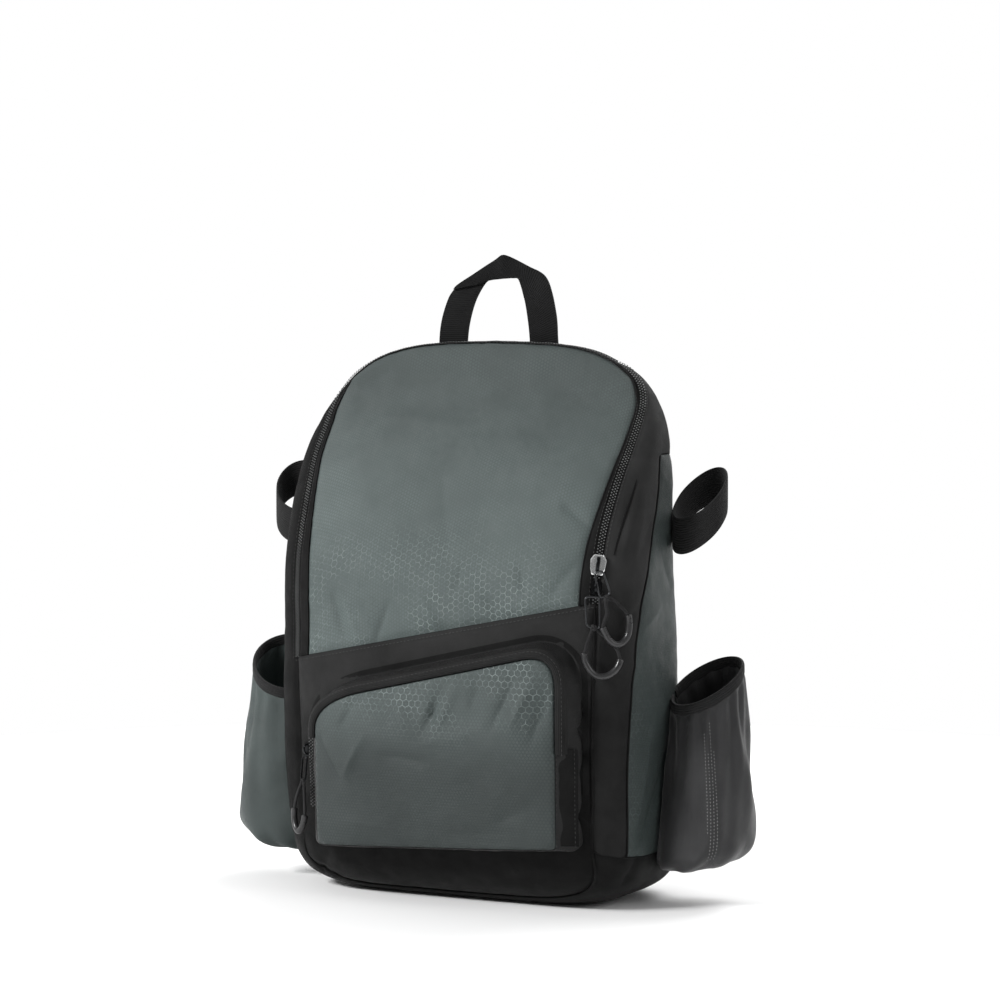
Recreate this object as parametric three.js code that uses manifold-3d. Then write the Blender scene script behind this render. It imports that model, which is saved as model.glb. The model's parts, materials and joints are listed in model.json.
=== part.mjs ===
// A youth baseball backpack that stands on its base: a padded back, a zipped front, a front pocket,
// a bat sleeve with an elastic loop on each side, a carry handle and two shoulder straps.
// Millimetres, +Z up. The front faces -Y and the wearer's back is at +Y.
// The origin is on the floor, under the middle of the base.
import * as THREE from "three";
import { mergeVertices } from "three/addons/utils/BufferGeometryUtils.js";
import Module from "manifold-3d";

const wasm = await Module();
wasm.setup();

// The bag's body, a soft box that is rounded all over
const bagHeight = 450;
const bagWidth = 320;
const bagDepth = 170;
const topArch = bagHeight / 3; // height of the rounded top
const baseCorner = bagHeight * 0.2045; // height over which the lower corners round in
const baseFlat = 2; // how far the floor presses the underside flat
const pillowPower = 4; // squareness of a level section
const topPower = 3.4; // squareness of the top, seen from the front
const basePower = 5; // squareness of the lower corners

// Cloth, foam and seams
const cloth = 2;
const backPadding = 8;
const seam = 0.3;

// The slanted seam between the upper front and the lower front
const slantHeight = bagHeight * 0.487; // at the middle
const slantRise = 0.2; // rise to the right, per millimetre

// The main zipper
const zipWidth = 6;
const zipThickness = 1.6;
const sidePanelTop = 2.25; // station of the side panels' upper seam
const baseSeam = 0.69; // station of the side walls' lower seam

// The front pocket
const pocketDepth = 24;
const pocketWallSpread = 13;
const pocketWallSpreadBelow = 4;
const pocketLeft = -0.319 * bagWidth;
const pocketRight = 0.35 * bagWidth;
const pocketBottom = bagHeight * 0.107; // at the middle
const pocketTop = bagHeight * 0.4045; // at the middle
const pocketBottomRise = 0.05;
const pocketTopRise = 0.225;
const pocketRadii = { topLeft: 46, topRight: 20, bottomRight: 7, bottomLeft: 10 };
const pocketZipWidth = 4.5;

// The bat sleeves, loops and their straps
const sleeveRadius = { left: 31, right: 28.5 }; // inside, at the mouth: a 57 mm barrel
const sleeveMouthHeight = bagHeight * 0.382; // at the mouth's middle
const sleeveMouthOutRise = 0.3;
const sleeveMouthBackRise = 0.55;
const sleeveFloor = 30;
const sleeveBottomHalfWidth = 43;
const sleeveBottomHalfDepth = 48;
const sleeveSet = 0.5; // how far the sleeve's middle is let into the side
const sleeveBack = { left: 10, right: 20 }; // the middle's distance behind the origin
const bindingHeight = 8;
const bindingThickness = 3.2;
const loopRadius = 20.5; // inside
const loopHeight = bagHeight * 0.7; // at the loop's middle
const loopWidth = 29;
const loopThickness = 1.8;
const loopOutRise = 0.37;
const loopBackRise = 0.85;
const loopBack = { left: 10, right: 27 };
const loopSet = 1.5; // how far the loop is let into the side seam

// The carry handle
const webbingWidth = 26;
const webbingThickness = 2.2;
const handleSpan = 84; // between the legs' middles at the foot
const handleLegs = {
  left: { rise: 50, lean: 19 }, // height of the leg's top, and how far it leans in
  right: { rise: 55, lean: 10 },
};
const handleHeight = 72;

// The shoulder straps
const strapWidth = 60;
const strapThickness = 9;
const strapSpread = { top: bagWidth * 0.1375, bottom: bagWidth * 0.2625 }; // distance from the middle
const strapTop = bagHeight * 0.951;
const strapBottom = bagHeight * 0.391;
const strapBow = 26; // clear of the back panel at the fullest place
const strapEndClear = 3;
const strapWebWidth = 25;
const strapWebThickness = 1.8;
const buckleHeight = 26;
const buckleThickness = 5;
const buckleRim = 3.5;
const anchorHeight = bagHeight * 0.138; // of the lower anchors above the floor
const anchorSpread = bagWidth * 0.35;
const anchorWidth = 34;
const anchorLength = 30;
const anchorThickness = 2.4;

// The zip pulls
const sliderWidth = 9;
const sliderLength = 12;
const sliderThickness = 3;
const bridgeWidth = 3;
const bridgeHole = 2.6;
const bridgeBar = 1.3;
const linkWire = 1.6;
const linkWidth = 12;
const linkLength = 22;
const cordDiameter = 2.2;
const gripRadius = 15;
const gripDiameter = 5.4;
const gripDrop = 48; // from the slider to the grip's ends

// Depth of the body at each height. Heights are shares of bagHeight, depths of half of bagDepth.
const depthRows = [
  { height: 0.0, front: -0.94, back: 0.95 },
  { height: 0.13, front: -0.99, back: 0.97 },
  { height: 0.27, front: -1.01, back: 0.9 },
  { height: 0.44, front: -1.02, back: 0.79 },
  { height: 0.58, front: -1.0, back: 0.69 },
  { height: 0.65, front: -0.91, back: 0.64 },
  { height: 0.71, front: -0.76, back: 0.59 },
  { height: 0.78, front: -0.54, back: 0.53 },
  { height: 0.84, front: -0.29, back: 0.47 },
  { height: 0.89, front: -0.11, back: 0.41 },
  { height: 0.93, front: -0.01, back: 0.37 },
  { height: 1.0, front: 0.07, back: 0.31 },
];

// Seams round the body. A station runs up one side: 0 is the middle of the underside, 1 and 2 the
// ends of the straight side and 3 the middle of the top. A turn is an angle in a section, from -90
// at the middle of the front through 0 at the side to 90 at the middle of the back.
const seamRows = [
  { station: 0.0, panel: -50, zip: -39, side: -34, back: 37 },
  { station: 0.45, panel: -50, zip: -40, side: -34, back: 38 },
  { station: 0.69, panel: -50, zip: -46, side: -33, back: 43 },
  { station: 1.0, panel: -50, zip: -46, side: -33, back: 46 },
  { station: 1.27, panel: -50, zip: -46, side: -31, back: 47 },
  { station: 1.65, panel: -49.6, zip: -45, side: -24, back: 47 },
  { station: 1.87, panel: -49, zip: -44.6, side: -12, back: 47 },
  { station: 2.1, panel: -47, zip: -43.6, side: -4, back: 46 },
  { station: 2.25, panel: -44.3, zip: -41, side: -6, back: 43 },
  { station: 2.36, panel: -40, zip: -36, side: -6, back: 39 },
  { station: 2.44, panel: -33, zip: -26, side: 0, back: 36 },
  { station: 2.52, panel: -27, zip: -12, side: 6, back: 34 },
  { station: 2.65, panel: -26, zip: 0, side: 12, back: 33 },
  { station: 3.0, panel: -27, zip: 6, side: 14, back: 33 },
];

const halfWidth = bagWidth / 2;
const halfDepth = bagDepth / 2;
const archFoot = bagHeight - topArch;
const cornerTop = baseCorner - baseFlat;
const lerp = THREE.MathUtils.lerp;
const radians = THREE.MathUtils.degToRad;
const vec = (x, y, z) => new THREE.Vector3(x, y, z);
const sideName = (side) => (side < 0 ? "left" : "right");

// A smooth curve through one column of a table, by its key column
function tableCurve(rows, key, column) {
  const slope = (i) => {
    const a = rows[Math.max(i - 1, 0)];
    const b = rows[Math.min(i + 1, rows.length - 1)];
    return (b[column] - a[column]) / (b[key] - a[key]);
  };
  return (at) => {
    const clamped = Math.min(Math.max(at, rows[0][key]), rows[rows.length - 1][key]);
    const i = Math.max(rows.findIndex((row) => row[key] >= clamped), 1) - 1;
    const span = rows[i + 1][key] - rows[i][key];
    const t = (clamped - rows[i][key]) / span;
    const bend = (t - 1) * (t - 1) * t * slope(i) + (t - 1) * t * t * slope(i + 1);
    const ease = t * t * (3 - 2 * t);
    return lerp(rows[i][column], rows[i + 1][column], ease) + bend * span;
  };
}

const frontShare = tableCurve(depthRows, "height", "front");
const backShare = tableCurve(depthRows, "height", "back");
const middleAt = (z) => (halfDepth * (frontShare(z / bagHeight) + backShare(z / bagHeight))) / 2;
const halfDepthAt = (z) => (halfDepth * (backShare(z / bagHeight) - frontShare(z / bagHeight))) / 2;

const seamCurves = {};
for (const name of ["panel", "zip", "side", "back"]) {
  seamCurves[name] = tableCurve(seamRows, "station", name);
}
const seamTurn = (name, station) => seamCurves[name](Math.abs(station));

// Share of the way from a section's middle to its outline in the front view
function outlineShare(x, z) {
  const wide = Math.abs(x) / halfWidth;
  if (z > archFoot) {
    const high = (z - archFoot) / topArch;
    return (wide ** topPower + high ** topPower) ** (1 / topPower);
  }
  if (z < cornerTop) {
    const low = (cornerTop - z) / baseCorner;
    return (wide ** basePower + low ** basePower) ** (1 / basePower);
  }
  return wide;
}

// Outward direction of the body's surface at a point on it
function bodyNormal(point) {
  const step = 0.05;
  const fullness = (x, y, z) =>
    outlineShare(x, z) ** pillowPower + Math.abs((y - middleAt(z)) / halfDepthAt(z)) ** pillowPower;
  const { x, y, z } = point;
  return vec(
    fullness(x + step, y, z) - fullness(x - step, y, z),
    fullness(x, y + step, z) - fullness(x, y - step, z),
    fullness(x, y, z + step) - fullness(x, y, z - step),
  ).normalize();
}

// Point of a rounded quarter, by the direction of its ray
function roundedQuarter(halfAcross, halfUp, power, angle) {
  const across = Math.max(Math.cos(angle), 0);
  const up = Math.max(Math.sin(angle), 0);
  const reach = (across ** power + up ** power) ** (-1 / power);
  return [halfAcross * across * reach, halfUp * up * reach];
}

function outlineAt(station) {
  const side = station < 0 ? -1 : 1;
  const s = Math.abs(station);
  if (s > 2) {
    const [x, rise] = roundedQuarter(halfWidth, topArch, topPower, radians(90 * (s - 2)));
    return { middle: archFoot, x: side * x, z: archFoot + rise };
  }
  if (s < 1) {
    const [x, drop] = roundedQuarter(halfWidth, baseCorner, basePower, radians(90 * (1 - s)));
    return { middle: cornerTop, x: side * x, z: cornerTop - drop };
  }
  const z = lerp(cornerTop, archFoot, s - 1);
  return { middle: z, x: side * halfWidth, z };
}

function bodyPoint(station, turn) {
  const outline = outlineAt(station);
  const [out, along] = roundedQuarter(1, 1, pillowPower, radians(Math.abs(turn)));
  const z = lerp(outline.middle, outline.z, out);
  return vec(outline.x * out, middleAt(z) + Math.sign(turn) * along * halfDepthAt(z), z);
}

// Height of the front or back surface over a point of the front view
function faceY(x, z, side) {
  const share = Math.min(outlineShare(x, z), 1);
  return middleAt(z) + side * halfDepthAt(z) * (1 - share ** pillowPower) ** (1 / pillowPower);
}
const frontPoint = (x, z) => vec(x, faceY(x, z, -1), z);
const backPoint = (x, z) => vec(x, faceY(x, z, 1), z);

// A turn moved along the surface by some millimetres, and a station likewise
function movedTurn(station, turn, distance) {
  const reach = bodyPoint(station, turn + 0.5).distanceTo(bodyPoint(station, turn - 0.5));
  return turn + distance / reach;
}
function movedStation(station, turn, distance) {
  const reach = bodyPoint(station + 0.005, turn).distanceTo(bodyPoint(station - 0.005, turn));
  return station + (distance * 0.01) / reach;
}

// Solids from points and faces

function geometryOf(points, faces) {
  const geometry = new THREE.BufferGeometry();
  geometry.setAttribute(
    "position",
    new THREE.Float32BufferAttribute(points.flatMap((p) => [p.x, p.y, p.z]), 3),
  );
  const volume = faces.reduce((sum, [a, b, c]) => {
    return sum + points[a].dot(points[b].clone().cross(points[c]));
  }, 0);
  geometry.setIndex(faces.flatMap((face) => (volume < 0 ? [...face].reverse() : face)));
  return geometry;
}

function gridFaces(rows, columns, keep = () => true) {
  const faces = [];
  for (let i = 0; i + 1 < rows; i++) {
    for (let j = 0; j + 1 < columns; j++) {
      if (!keep(i, j)) continue;
      const a = i * columns + j;
      faces.push([a, a + 1, a + columns + 1], [a, a + columns + 1, a + columns]);
    }
  }
  return faces;
}

// A sheet with a thickness: its faces, the same faces on the inner points, and a rim between them
function thickSheet(outer, inner, faces) {
  const count = outer.length;
  const all = [...outer, ...inner];
  const edges = new Map();
  for (const [a, b, c] of faces) {
    for (const [from, to] of [[a, b], [b, c], [c, a]]) {
      if (!edges.delete(to + "," + from)) edges.set(from + "," + to, [from, to]);
    }
  }
  const solid = faces.flatMap(([a, b, c]) => [[a, b, c], [c + count, b + count, a + count]]);
  for (const [from, to] of edges.values()) {
    solid.push([to, from, from + count], [to, from + count, to + count]);
  }
  const used = [...new Set(solid.flat())];
  const renumbered = new Map(used.map((old, fresh) => [old, fresh]));
  const kept = solid.map((face) => face.map((old) => renumbered.get(old)));
  return geometryOf(used.map((old) => all[old]), kept);
}

// Cloth whose outer face lies on the body, pressed flat where it meets the floor
function bodyCloth(grid, thickness = cloth, keep = undefined) {
  const outer = grid.flat();
  const inner = outer.map((p) => p.clone().addScaledVector(bodyNormal(p), -thickness));
  for (const p of outer) p.z = Math.max(p.z, 0);
  for (const p of inner) p.z = Math.max(p.z, thickness);
  return thickSheet(outer, inner, gridFaces(grid.length, grid[0].length, keep));
}

// A section swept through frames, each with a place and the directions of the section's axes
function sweep(frames, section, closed = false) {
  const n = section.length;
  const points = frames.flatMap(({ at, across, up }) =>
    section.map(([a, b]) => at.clone().addScaledVector(across, a).addScaledVector(up, b)),
  );
  const faces = [];
  const spans = closed ? frames.length : frames.length - 1;
  for (let i = 0; i < spans; i++) {
    const here = i * n;
    const next = ((i + 1) % frames.length) * n;
    for (let j = 0; j < n; j++) {
      const k = (j + 1) % n;
      faces.push([here + j, next + j, next + k], [here + j, next + k, here + k]);
    }
  }
  if (!closed) {
    const last = points.length - n;
    for (let j = 1; j + 1 < n; j++) {
      faces.push([0, j, j + 1], [last, last + j + 1, last + j]);
    }
  }
  return geometryOf(points, faces);
}

function tube(curve, diameter, steps, sides) {
  const section = Array.from({ length: sides }, (_, i) => {
    const a = (2 * Math.PI * i) / sides;
    return [(Math.cos(a) * diameter) / 2, (Math.sin(a) * diameter) / 2];
  });
  const frenet = curve.computeFrenetFrames(steps, false);
  const frames = frenet.tangents.map((_, i) => ({
    at: curve.getPointAt(i / steps),
    across: frenet.normals[i],
    up: frenet.binormals[i],
  }));
  return sweep(frames, section);
}

// A flat band's section with its corners cut, width along the first axis
function bandSection(width, thickness, cut = Math.min(width, thickness) / 4) {
  const w = width / 2;
  const t = thickness / 2;
  return [
    [-w, -t + cut], [-w + cut, -t], [w - cut, -t], [w, -t + cut],
    [w, t - cut], [w - cut, t], [-w + cut, t], [-w, t - cut],
  ];
}

function box(low, high) {
  const geometry = new THREE.BoxGeometry(high.x - low.x, high.y - low.y, high.z - low.z);
  geometry.translate((low.x + high.x) / 2, (low.y + high.y) / 2, (low.z + high.z) / 2);
  return geometry;
}

// Boolean cuts and joins

function solidOf(geometry) {
  const bare = geometry.clone();
  bare.deleteAttribute("normal");
  bare.deleteAttribute("uv");
  const merged = mergeVertices(bare, 1e-4);
  const index = merged.index.array;
  const whole = [];
  for (let i = 0; i < index.length; i += 3) {
    const [a, b, c] = [index[i], index[i + 1], index[i + 2]];
    if (a !== b && b !== c && c !== a) whole.push(a, b, c);
  }
  return new wasm.Manifold(
    new wasm.Mesh({
      numProp: 3,
      vertProperties: merged.attributes.position.array,
      triVerts: new Uint32Array(whole),
    }),
  );
}

function meshGeometry(solid) {
  const mesh = solid.getMesh();
  const points = [];
  for (let i = 0; i < mesh.numVert; i++) {
    points.push(vec(...mesh.vertProperties.subarray(i * mesh.numProp, i * mesh.numProp + 3)));
  }
  const faces = [];
  for (let i = 0; i < mesh.triVerts.length; i += 3) {
    faces.push([...mesh.triVerts.subarray(i, i + 3)]);
  }
  return geometryOf(points, faces);
}

// The largest body of a solid, without the slivers and the crumbs that a cut can leave
const smallestDetail = 0.1;
function mainBody(solid) {
  const bodies = solid.simplify(smallestDetail).decompose();
  return bodies.sort((a, b) => b.volume() - a.volume())[0];
}

// The whole body as a filled form, a seam's gap larger, for trimming what is sewn on it
function bodyForm(gap) {
  const around = 96;
  const across = 36;
  const grid = [];
  for (let i = 0; i <= around; i++) {
    const station = lerp(-3, 3, i / around);
    const row = [];
    for (let j = 0; j <= across; j++) {
      const turn = lerp(-90, 90, j / across);
      const p = bodyPoint(station, turn);
      p.addScaledVector(bodyNormal(p), gap);
      row.push(p);
    }
    grid.push(row);
  }
  // both ends of the stations are one line, and so are both sides of the middle of front and back
  for (let j = 0; j <= across; j++) grid[around][j].copy(grid[0][j]);
  for (let i = 0; i <= around; i++) {
    for (const j of [0, across]) grid[i][j].x = 0;
  }
  return solidOf(geometryOf(grid.flat(), gridFaces(around + 1, across + 1)));
}
const form = bodyForm(seam);
const trimmed = (geometry) => meshGeometry(mainBody(solidOf(geometry).subtract(form)));

// Stations that neighbouring pieces share, so that their seams match
const sideSteps = 5;
const shoulderSteps = 3;
const lowerSteps = 4;
const topSteps = 12;
const upperSteps = sideSteps + shoulderSteps;
const archCorner = 2.5;
const steps = (from, to, count) =>
  Array.from({ length: count + 1 }, (_, i) => lerp(from, to, i / count));

// The station where a line round the body crosses the slanted seam on one side
function stationOnSlant(side, turnAt, lift) {
  let low = 1;
  let high = 2;
  for (let i = 0; i < 40; i++) {
    const s = (low + high) / 2;
    const p = bodyPoint(side * s, turnAt(s));
    if (p.z < slantHeight + slantRise * p.x + lift) low = s;
    else high = s;
  }
  return low;
}

// From a station on one side up to the arch, past the side panel's top
function upperSideStations(side, from) {
  const lower = steps(from, sidePanelTop, sideSteps);
  const shoulder = steps(sidePanelTop, archCorner, shoulderSteps);
  return [...lower, ...shoulder.slice(1)].map((s) => side * s);
}

// From the right over the top to the left, given where each side starts
function frameStations(startRight, startLeft) {
  const half = topSteps / 2;
  return [
    ...upperSideStations(1, startRight),
    ...steps(archCorner, 3, half).slice(1),
    ...steps(-3, -archCorner, half).slice(1),
    ...upperSideStations(-1, startLeft).reverse().slice(1),
  ];
}
const framedAbove = (turnAt) =>
  frameStations(stationOnSlant(1, turnAt, seam / 2), stationOnSlant(-1, turnAt, seam / 2));

// Lines beside the zipper, given as turns
const besideSeam = (name, shift) => (s) => movedTurn(s, seamTurn(name, s), shift);
const zipReach = zipWidth / 2;
const stripInner = besideSeam("panel", seam / 2);
const stripOuter = besideSeam("zip", -zipReach - seam / 2);
const zipperNear = besideSeam("zip", seam / 2 - zipReach);
const zipperFar = besideSeam("zip", zipReach - seam / 2);

// A band of cloth between two seams, along two lists of stations
function bandGrid(fromStations, toStations, from, to, acrossSteps) {
  return fromStations.map((station, i) =>
    steps(0, 1, acrossSteps).map((share) =>
      bodyPoint(
        lerp(station, toStations[i], share),
        lerp(from(station), to(toStations[i]), share),
      ),
    ),
  );
}

// A four-sided patch of the front view between its edges, lists of points from left to right or upwards
function patch(bottom, right, top, left) {
  const n = bottom.length - 1;
  const m = right.length - 1;
  const blend = (i, j, axis) => {
    const u = i / n;
    const v = j / m;
    const between = lerp(bottom[i][axis], top[i][axis], v) + lerp(left[j][axis], right[j][axis], u);
    const low = lerp(bottom[0][axis], bottom[n][axis], u);
    const high = lerp(top[0][axis], top[n][axis], u);
    return between - lerp(low, high, v);
  };
  return top.map((_, i) => right.map((_, j) => [blend(i, j, "x"), blend(i, j, "z")]));
}
const seamPoint = (station, seamName, shift) =>
  bodyPoint(station, movedTurn(station, seamTurn(seamName, station), shift));
const bodyPatch = (edges, face) => patch(...edges).map((row) => row.map(([x, z]) => face(x, z)));

// The slanted seam's points, from left to right
function slantEdge(from, to, shift, count) {
  return steps(from.x, to.x, count).map((x) => ({ x, z: slantHeight + slantRise * x + shift }));
}

// The body's panels

function frontPanel() {
  const edgeTurn = besideSeam("panel", -seam / 2);
  const edge = framedAbove(edgeTurn).map((s) => bodyPoint(s, edgeTurn(s)));
  const right = edge.slice(0, upperSteps + 1);
  const top = edge.slice(upperSteps, upperSteps + topSteps + 1).reverse();
  const left = edge.slice(upperSteps + topSteps).reverse();
  const bottom = slantEdge(left[0], right[0], seam / 2, topSteps);
  return bodyCloth(bodyPatch([bottom, right, top, left], frontPoint));
}

const lowerEdge = besideSeam("zip", -seam / 2);
const lowerTop = (side) => stationOnSlant(side, lowerEdge, -seam / 2);
const lowerSide = (side) => steps(baseSeam, lowerTop(side), lowerSteps).map((s) => side * s);

function lowerFrontPanel() {
  const edge = (stations) => stations.map((s) => bodyPoint(s, lowerEdge(s)));
  const right = edge(lowerSide(1));
  const left = edge(lowerSide(-1));
  const bottom = edge(steps(-baseSeam, baseSeam, topSteps));
  const top = slantEdge(left[lowerSteps], right[lowerSteps], -seam / 2, topSteps);
  return bodyCloth(bodyPatch([bottom, right, top, left], frontPoint));
}

function zipStrip() {
  return bodyCloth(
    bandGrid(framedAbove(stripInner), framedAbove(stripOuter), stripInner, stripOuter, 1),
  );
}

function mainZipper() {
  return bodyCloth(
    bandGrid(framedAbove(zipperNear), framedAbove(zipperFar), zipperNear, zipperFar, 1),
    zipThickness,
  );
}

// Stations up one side of the gusset, with a narrow step where the zipper's end meets the slant
function gussetSide(side) {
  const ends = [lowerEdge, zipperFar].map((turnAt) => stationOnSlant(side, turnAt, 0));
  const clear = movedStation(1.5, 0, seam) - 1.5;
  const zipperEnd = Math.min(...ends) - 2 * clear;
  const lower = steps(baseSeam, zipperEnd - 2 * clear, lowerSteps);
  return [...lower.map((s) => side * s), ...upperSideStations(side, zipperEnd)];
}

// Stations over the top from right to left, and the same with the middle only once
const overTop = [...steps(archCorner, 3, topSteps / 2), ...steps(-3, -archCorner, topSteps / 2)];
const overTopOnce = overTop.filter((s) => s !== -3);

// How far the panels above the base seam start from it, in stations
const clearStation = movedStation(baseSeam, 0, seam) - baseSeam;

// The black band beside the zipper, which reaches the back seam above the side panels
function gusset() {
  const stations = [
    ...gussetSide(1).slice(0, -1),
    ...overTopOnce,
    ...gussetSide(-1).reverse().slice(1),
  ];
  stations[0] += clearStation;
  stations[stations.length - 1] -= clearStation;
  const zipStart = { 1: gussetSide(1)[lowerSteps + 1], [-1]: -gussetSide(-1)[lowerSteps + 1] };
  const isZipped = (s) => Math.abs(s) >= zipStart[Math.sign(s)];
  const isAbove = (s) => Math.abs(s) >= sidePanelTop;
  const front = (s) => movedTurn(s, seamTurn("zip", s), (isZipped(s) ? zipReach : 0) + 2 * seam);
  const side = (s) => movedTurn(s, seamTurn("side", s), -seam / 2);
  const back = (s) => movedTurn(s, seamTurn("back", s), -seam / 2);
  const rows = stations.map((s) =>
    [...steps(front(s), side(s), 3), ...steps(side(s), back(s), 3).slice(1)].map((turn) =>
      bodyPoint(s, turn),
    ),
  );
  const keep = (i, j) => j < 3 || (isAbove(stations[i]) && isAbove(stations[i + 1]));
  return bodyCloth(rows, cloth, keep);
}

function sidePanel(side) {
  const stations = gussetSide(side).filter((s) => Math.abs(s) <= sidePanelTop);
  stations[0] += side * clearStation;
  stations[stations.length - 1] = side * movedStation(sidePanelTop, 0, -2 * seam);
  const front = besideSeam("side", seam / 2);
  const back = besideSeam("back", -seam / 2);
  return bodyCloth(bandGrid(stations, stations, front, back, 5));
}

function basePanel() {
  const stations = steps(-baseSeam, baseSeam, topSteps);
  return bodyCloth(
    bandGrid(stations, stations, besideSeam("zip", seam / 2), besideSeam("back", -seam / 2), 7),
  );
}

function backPanel() {
  const edge = (stations) => stations.map((s) => seamPoint(s, "back", seam / 2));
  const bottom = edge(steps(-baseSeam, baseSeam, topSteps));
  const right = edge(gussetSide(1));
  const left = edge(gussetSide(-1));
  const top = edge([...overTopOnce].reverse());
  return bodyCloth(bodyPatch([bottom, right, top, left], backPoint), backPadding);
}

// The front pocket

function pocketCorners() {
  const low = (x) => pocketBottom + pocketBottomRise * x;
  const high = (x) => pocketTop + pocketTopRise * x;
  return [
    { x: pocketLeft, z: low(pocketLeft), radius: pocketRadii.bottomLeft },
    { x: pocketRight, z: low(pocketRight), radius: pocketRadii.bottomRight },
    { x: pocketRight, z: high(pocketRight), radius: pocketRadii.topRight },
    { x: pocketLeft, z: high(pocketLeft), radius: pocketRadii.topLeft },
  ];
}
const cornerSteps = 5;
const edgeSteps = 6;

// The pocket's outline, anticlockwise from the bottom left, each point with its outward direction
function pocketOutline() {
  const corners = pocketCorners().map((c) => ({ at: new THREE.Vector2(c.x, c.z), radius: c.radius }));
  const outline = [];
  corners.forEach(({ at, radius }, i) => {
    const before = corners[(i + 3) % 4].at.clone().sub(at).normalize();
    const after = corners[(i + 1) % 4].at.clone().sub(at).normalize();
    const half = Math.acos(before.dot(after)) / 2;
    const centre = before.clone().add(after).setLength(radius / Math.sin(half)).add(at);
    const start = new THREE.Vector2(-before.y, before.x);
    const finish = new THREE.Vector2(after.y, -after.x);
    const turn = Math.atan2(start.cross(finish), start.dot(finish));
    for (const share of steps(0, 1, cornerSteps)) {
      const out = start.clone().rotateAround(new THREE.Vector2(), turn * share);
      outline.push({ at: centre.clone().addScaledVector(out, radius), out });
    }
  });
  const filled = [];
  outline.forEach((point, i) => {
    filled.push(point);
    if (i % (cornerSteps + 1) !== cornerSteps) return;
    const next = outline[(i + 1) % outline.length];
    for (const share of steps(0, 1, edgeSteps).slice(1, -1)) {
      filled.push({ at: point.at.clone().lerp(next.at, share), out: point.out });
    }
  });
  return filled;
}

// A point off the front of the body, over a place of the front view
function liftedPoint(x, z, lift) {
  const p = frontPoint(x, z);
  return p.add(vec(0, -lift, 0));
}
const pocketEdgeDrop = 3;

function pocketFace() {
  const outline = pocketOutline();
  const middle = outline.reduce((sum, { at }) => sum.add(at), new THREE.Vector2());
  middle.divideScalar(outline.length);
  const rings = [
    { share: 0.4, lift: pocketDepth + 1.5 },
    { share: 0.75, lift: pocketDepth + 0.5 },
    { share: 1, lift: pocketDepth - pocketEdgeDrop },
  ];
  const outer = [liftedPoint(middle.x, middle.y, pocketDepth + 2)];
  for (const { share, lift } of rings) {
    for (const { at } of outline) {
      const q = middle.clone().lerp(at, share);
      outer.push(liftedPoint(q.x, q.y, lift));
    }
  }
  const n = outline.length;
  const faces = [];
  for (let i = 0; i < n; i++) {
    const k = (i + 1) % n;
    faces.push([0, 1 + i, 1 + k]);
    for (let ring = 0; ring + 1 < rings.length; ring++) {
      const a = 1 + ring * n;
      faces.push([a + i, a + n + i, a + n + k], [a + i, a + n + k, a + k]);
    }
  }
  const inner = outer.map((p) => p.clone().add(vec(0, cloth, 0)));
  return thickSheet(outer, inner, faces);
}

// How far the wall spreads at its foot, less under the pocket
const wallSpread = (out) =>
  lerp(pocketWallSpread, pocketWallSpreadBelow, Math.max(-out.y, 0) ** 2);

function pocketWall() {
  const rows = [
    { spread: 0, lift: pocketDepth - pocketEdgeDrop, extra: seam },
    { spread: 0.35, lift: pocketDepth - pocketEdgeDrop - 1, extra: seam },
    { spread: 0.75, lift: pocketDepth * 0.55, extra: 0 },
    { spread: 1, lift: -cloth, extra: 0 },
  ];
  const outline = pocketOutline();
  const ring = (row, depth) =>
    outline.map(({ at, out }) => {
      const grow = wallSpread(out) * row.spread + row.extra;
      const q = at.clone().addScaledVector(out, Math.max(grow - depth.in, row.extra));
      return liftedPoint(q.x, q.y, row.lift - depth.back);
    });
  const outer = rows.flatMap((row) => ring(row, { in: 0, back: 0 }));
  const inner = rows.flatMap((row, i) =>
    ring(row, i < 2 ? { in: 0, back: cloth } : { in: cloth, back: 0 }),
  );
  const n = outline.length;
  const faces = [];
  for (let r = 0; r + 1 < rows.length; r++) {
    for (let i = 0; i < n; i++) {
      const k = (i + 1) % n;
      const a = r * n;
      faces.push([a + i, a + n + i, a + n + k], [a + i, a + n + k, a + k]);
    }
  }
  return trimmed(thickSheet(outer, inner, faces));
}

// The pocket's zipper lies on the bag along the wall's foot: up the left side, over and down the right
const pocketZipFrom = 0.3; // share of the right edge, where the zipper ends
const pocketZipTo = 0.25; // share of the left edge
function pocketZipRun() {
  const perCorner = cornerSteps + edgeSteps;
  const outline = pocketOutline();
  const first = Math.round(perCorner + cornerSteps + edgeSteps * (1 - pocketZipFrom) - edgeSteps / 4);
  const last = Math.round(3 * perCorner + cornerSteps + edgeSteps * (1 - pocketZipTo));
  return outline.slice(first, last + 1);
}

function pocketZipper() {
  const near = pocketWallSpread + seam;
  const outer = pocketZipRun().flatMap(({ at, out }) =>
    [near, near + pocketZipWidth].map((grow) => {
      const q = at.clone().addScaledVector(out, grow);
      const p = frontPoint(q.x, q.y);
      return p.addScaledVector(bodyNormal(p), seam + zipThickness);
    }),
  );
  const inner = outer.map((p) => p.clone().addScaledVector(bodyNormal(p), -zipThickness - 1));
  return trimmed(thickSheet(outer, inner, gridFaces(outer.length / 2, 2)));
}

// The bat sleeves

const sleeveSides = 22;
const sleeveProfile = [
  { drop: 0, swell: 0 },
  { drop: 0.25, swell: 0.3 },
  { drop: 0.55, swell: 0.7 },
  { drop: 0.82, swell: 1 },
  { drop: 0.95, swell: 0.97 },
  { drop: 1, swell: 0.8 },
];

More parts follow.
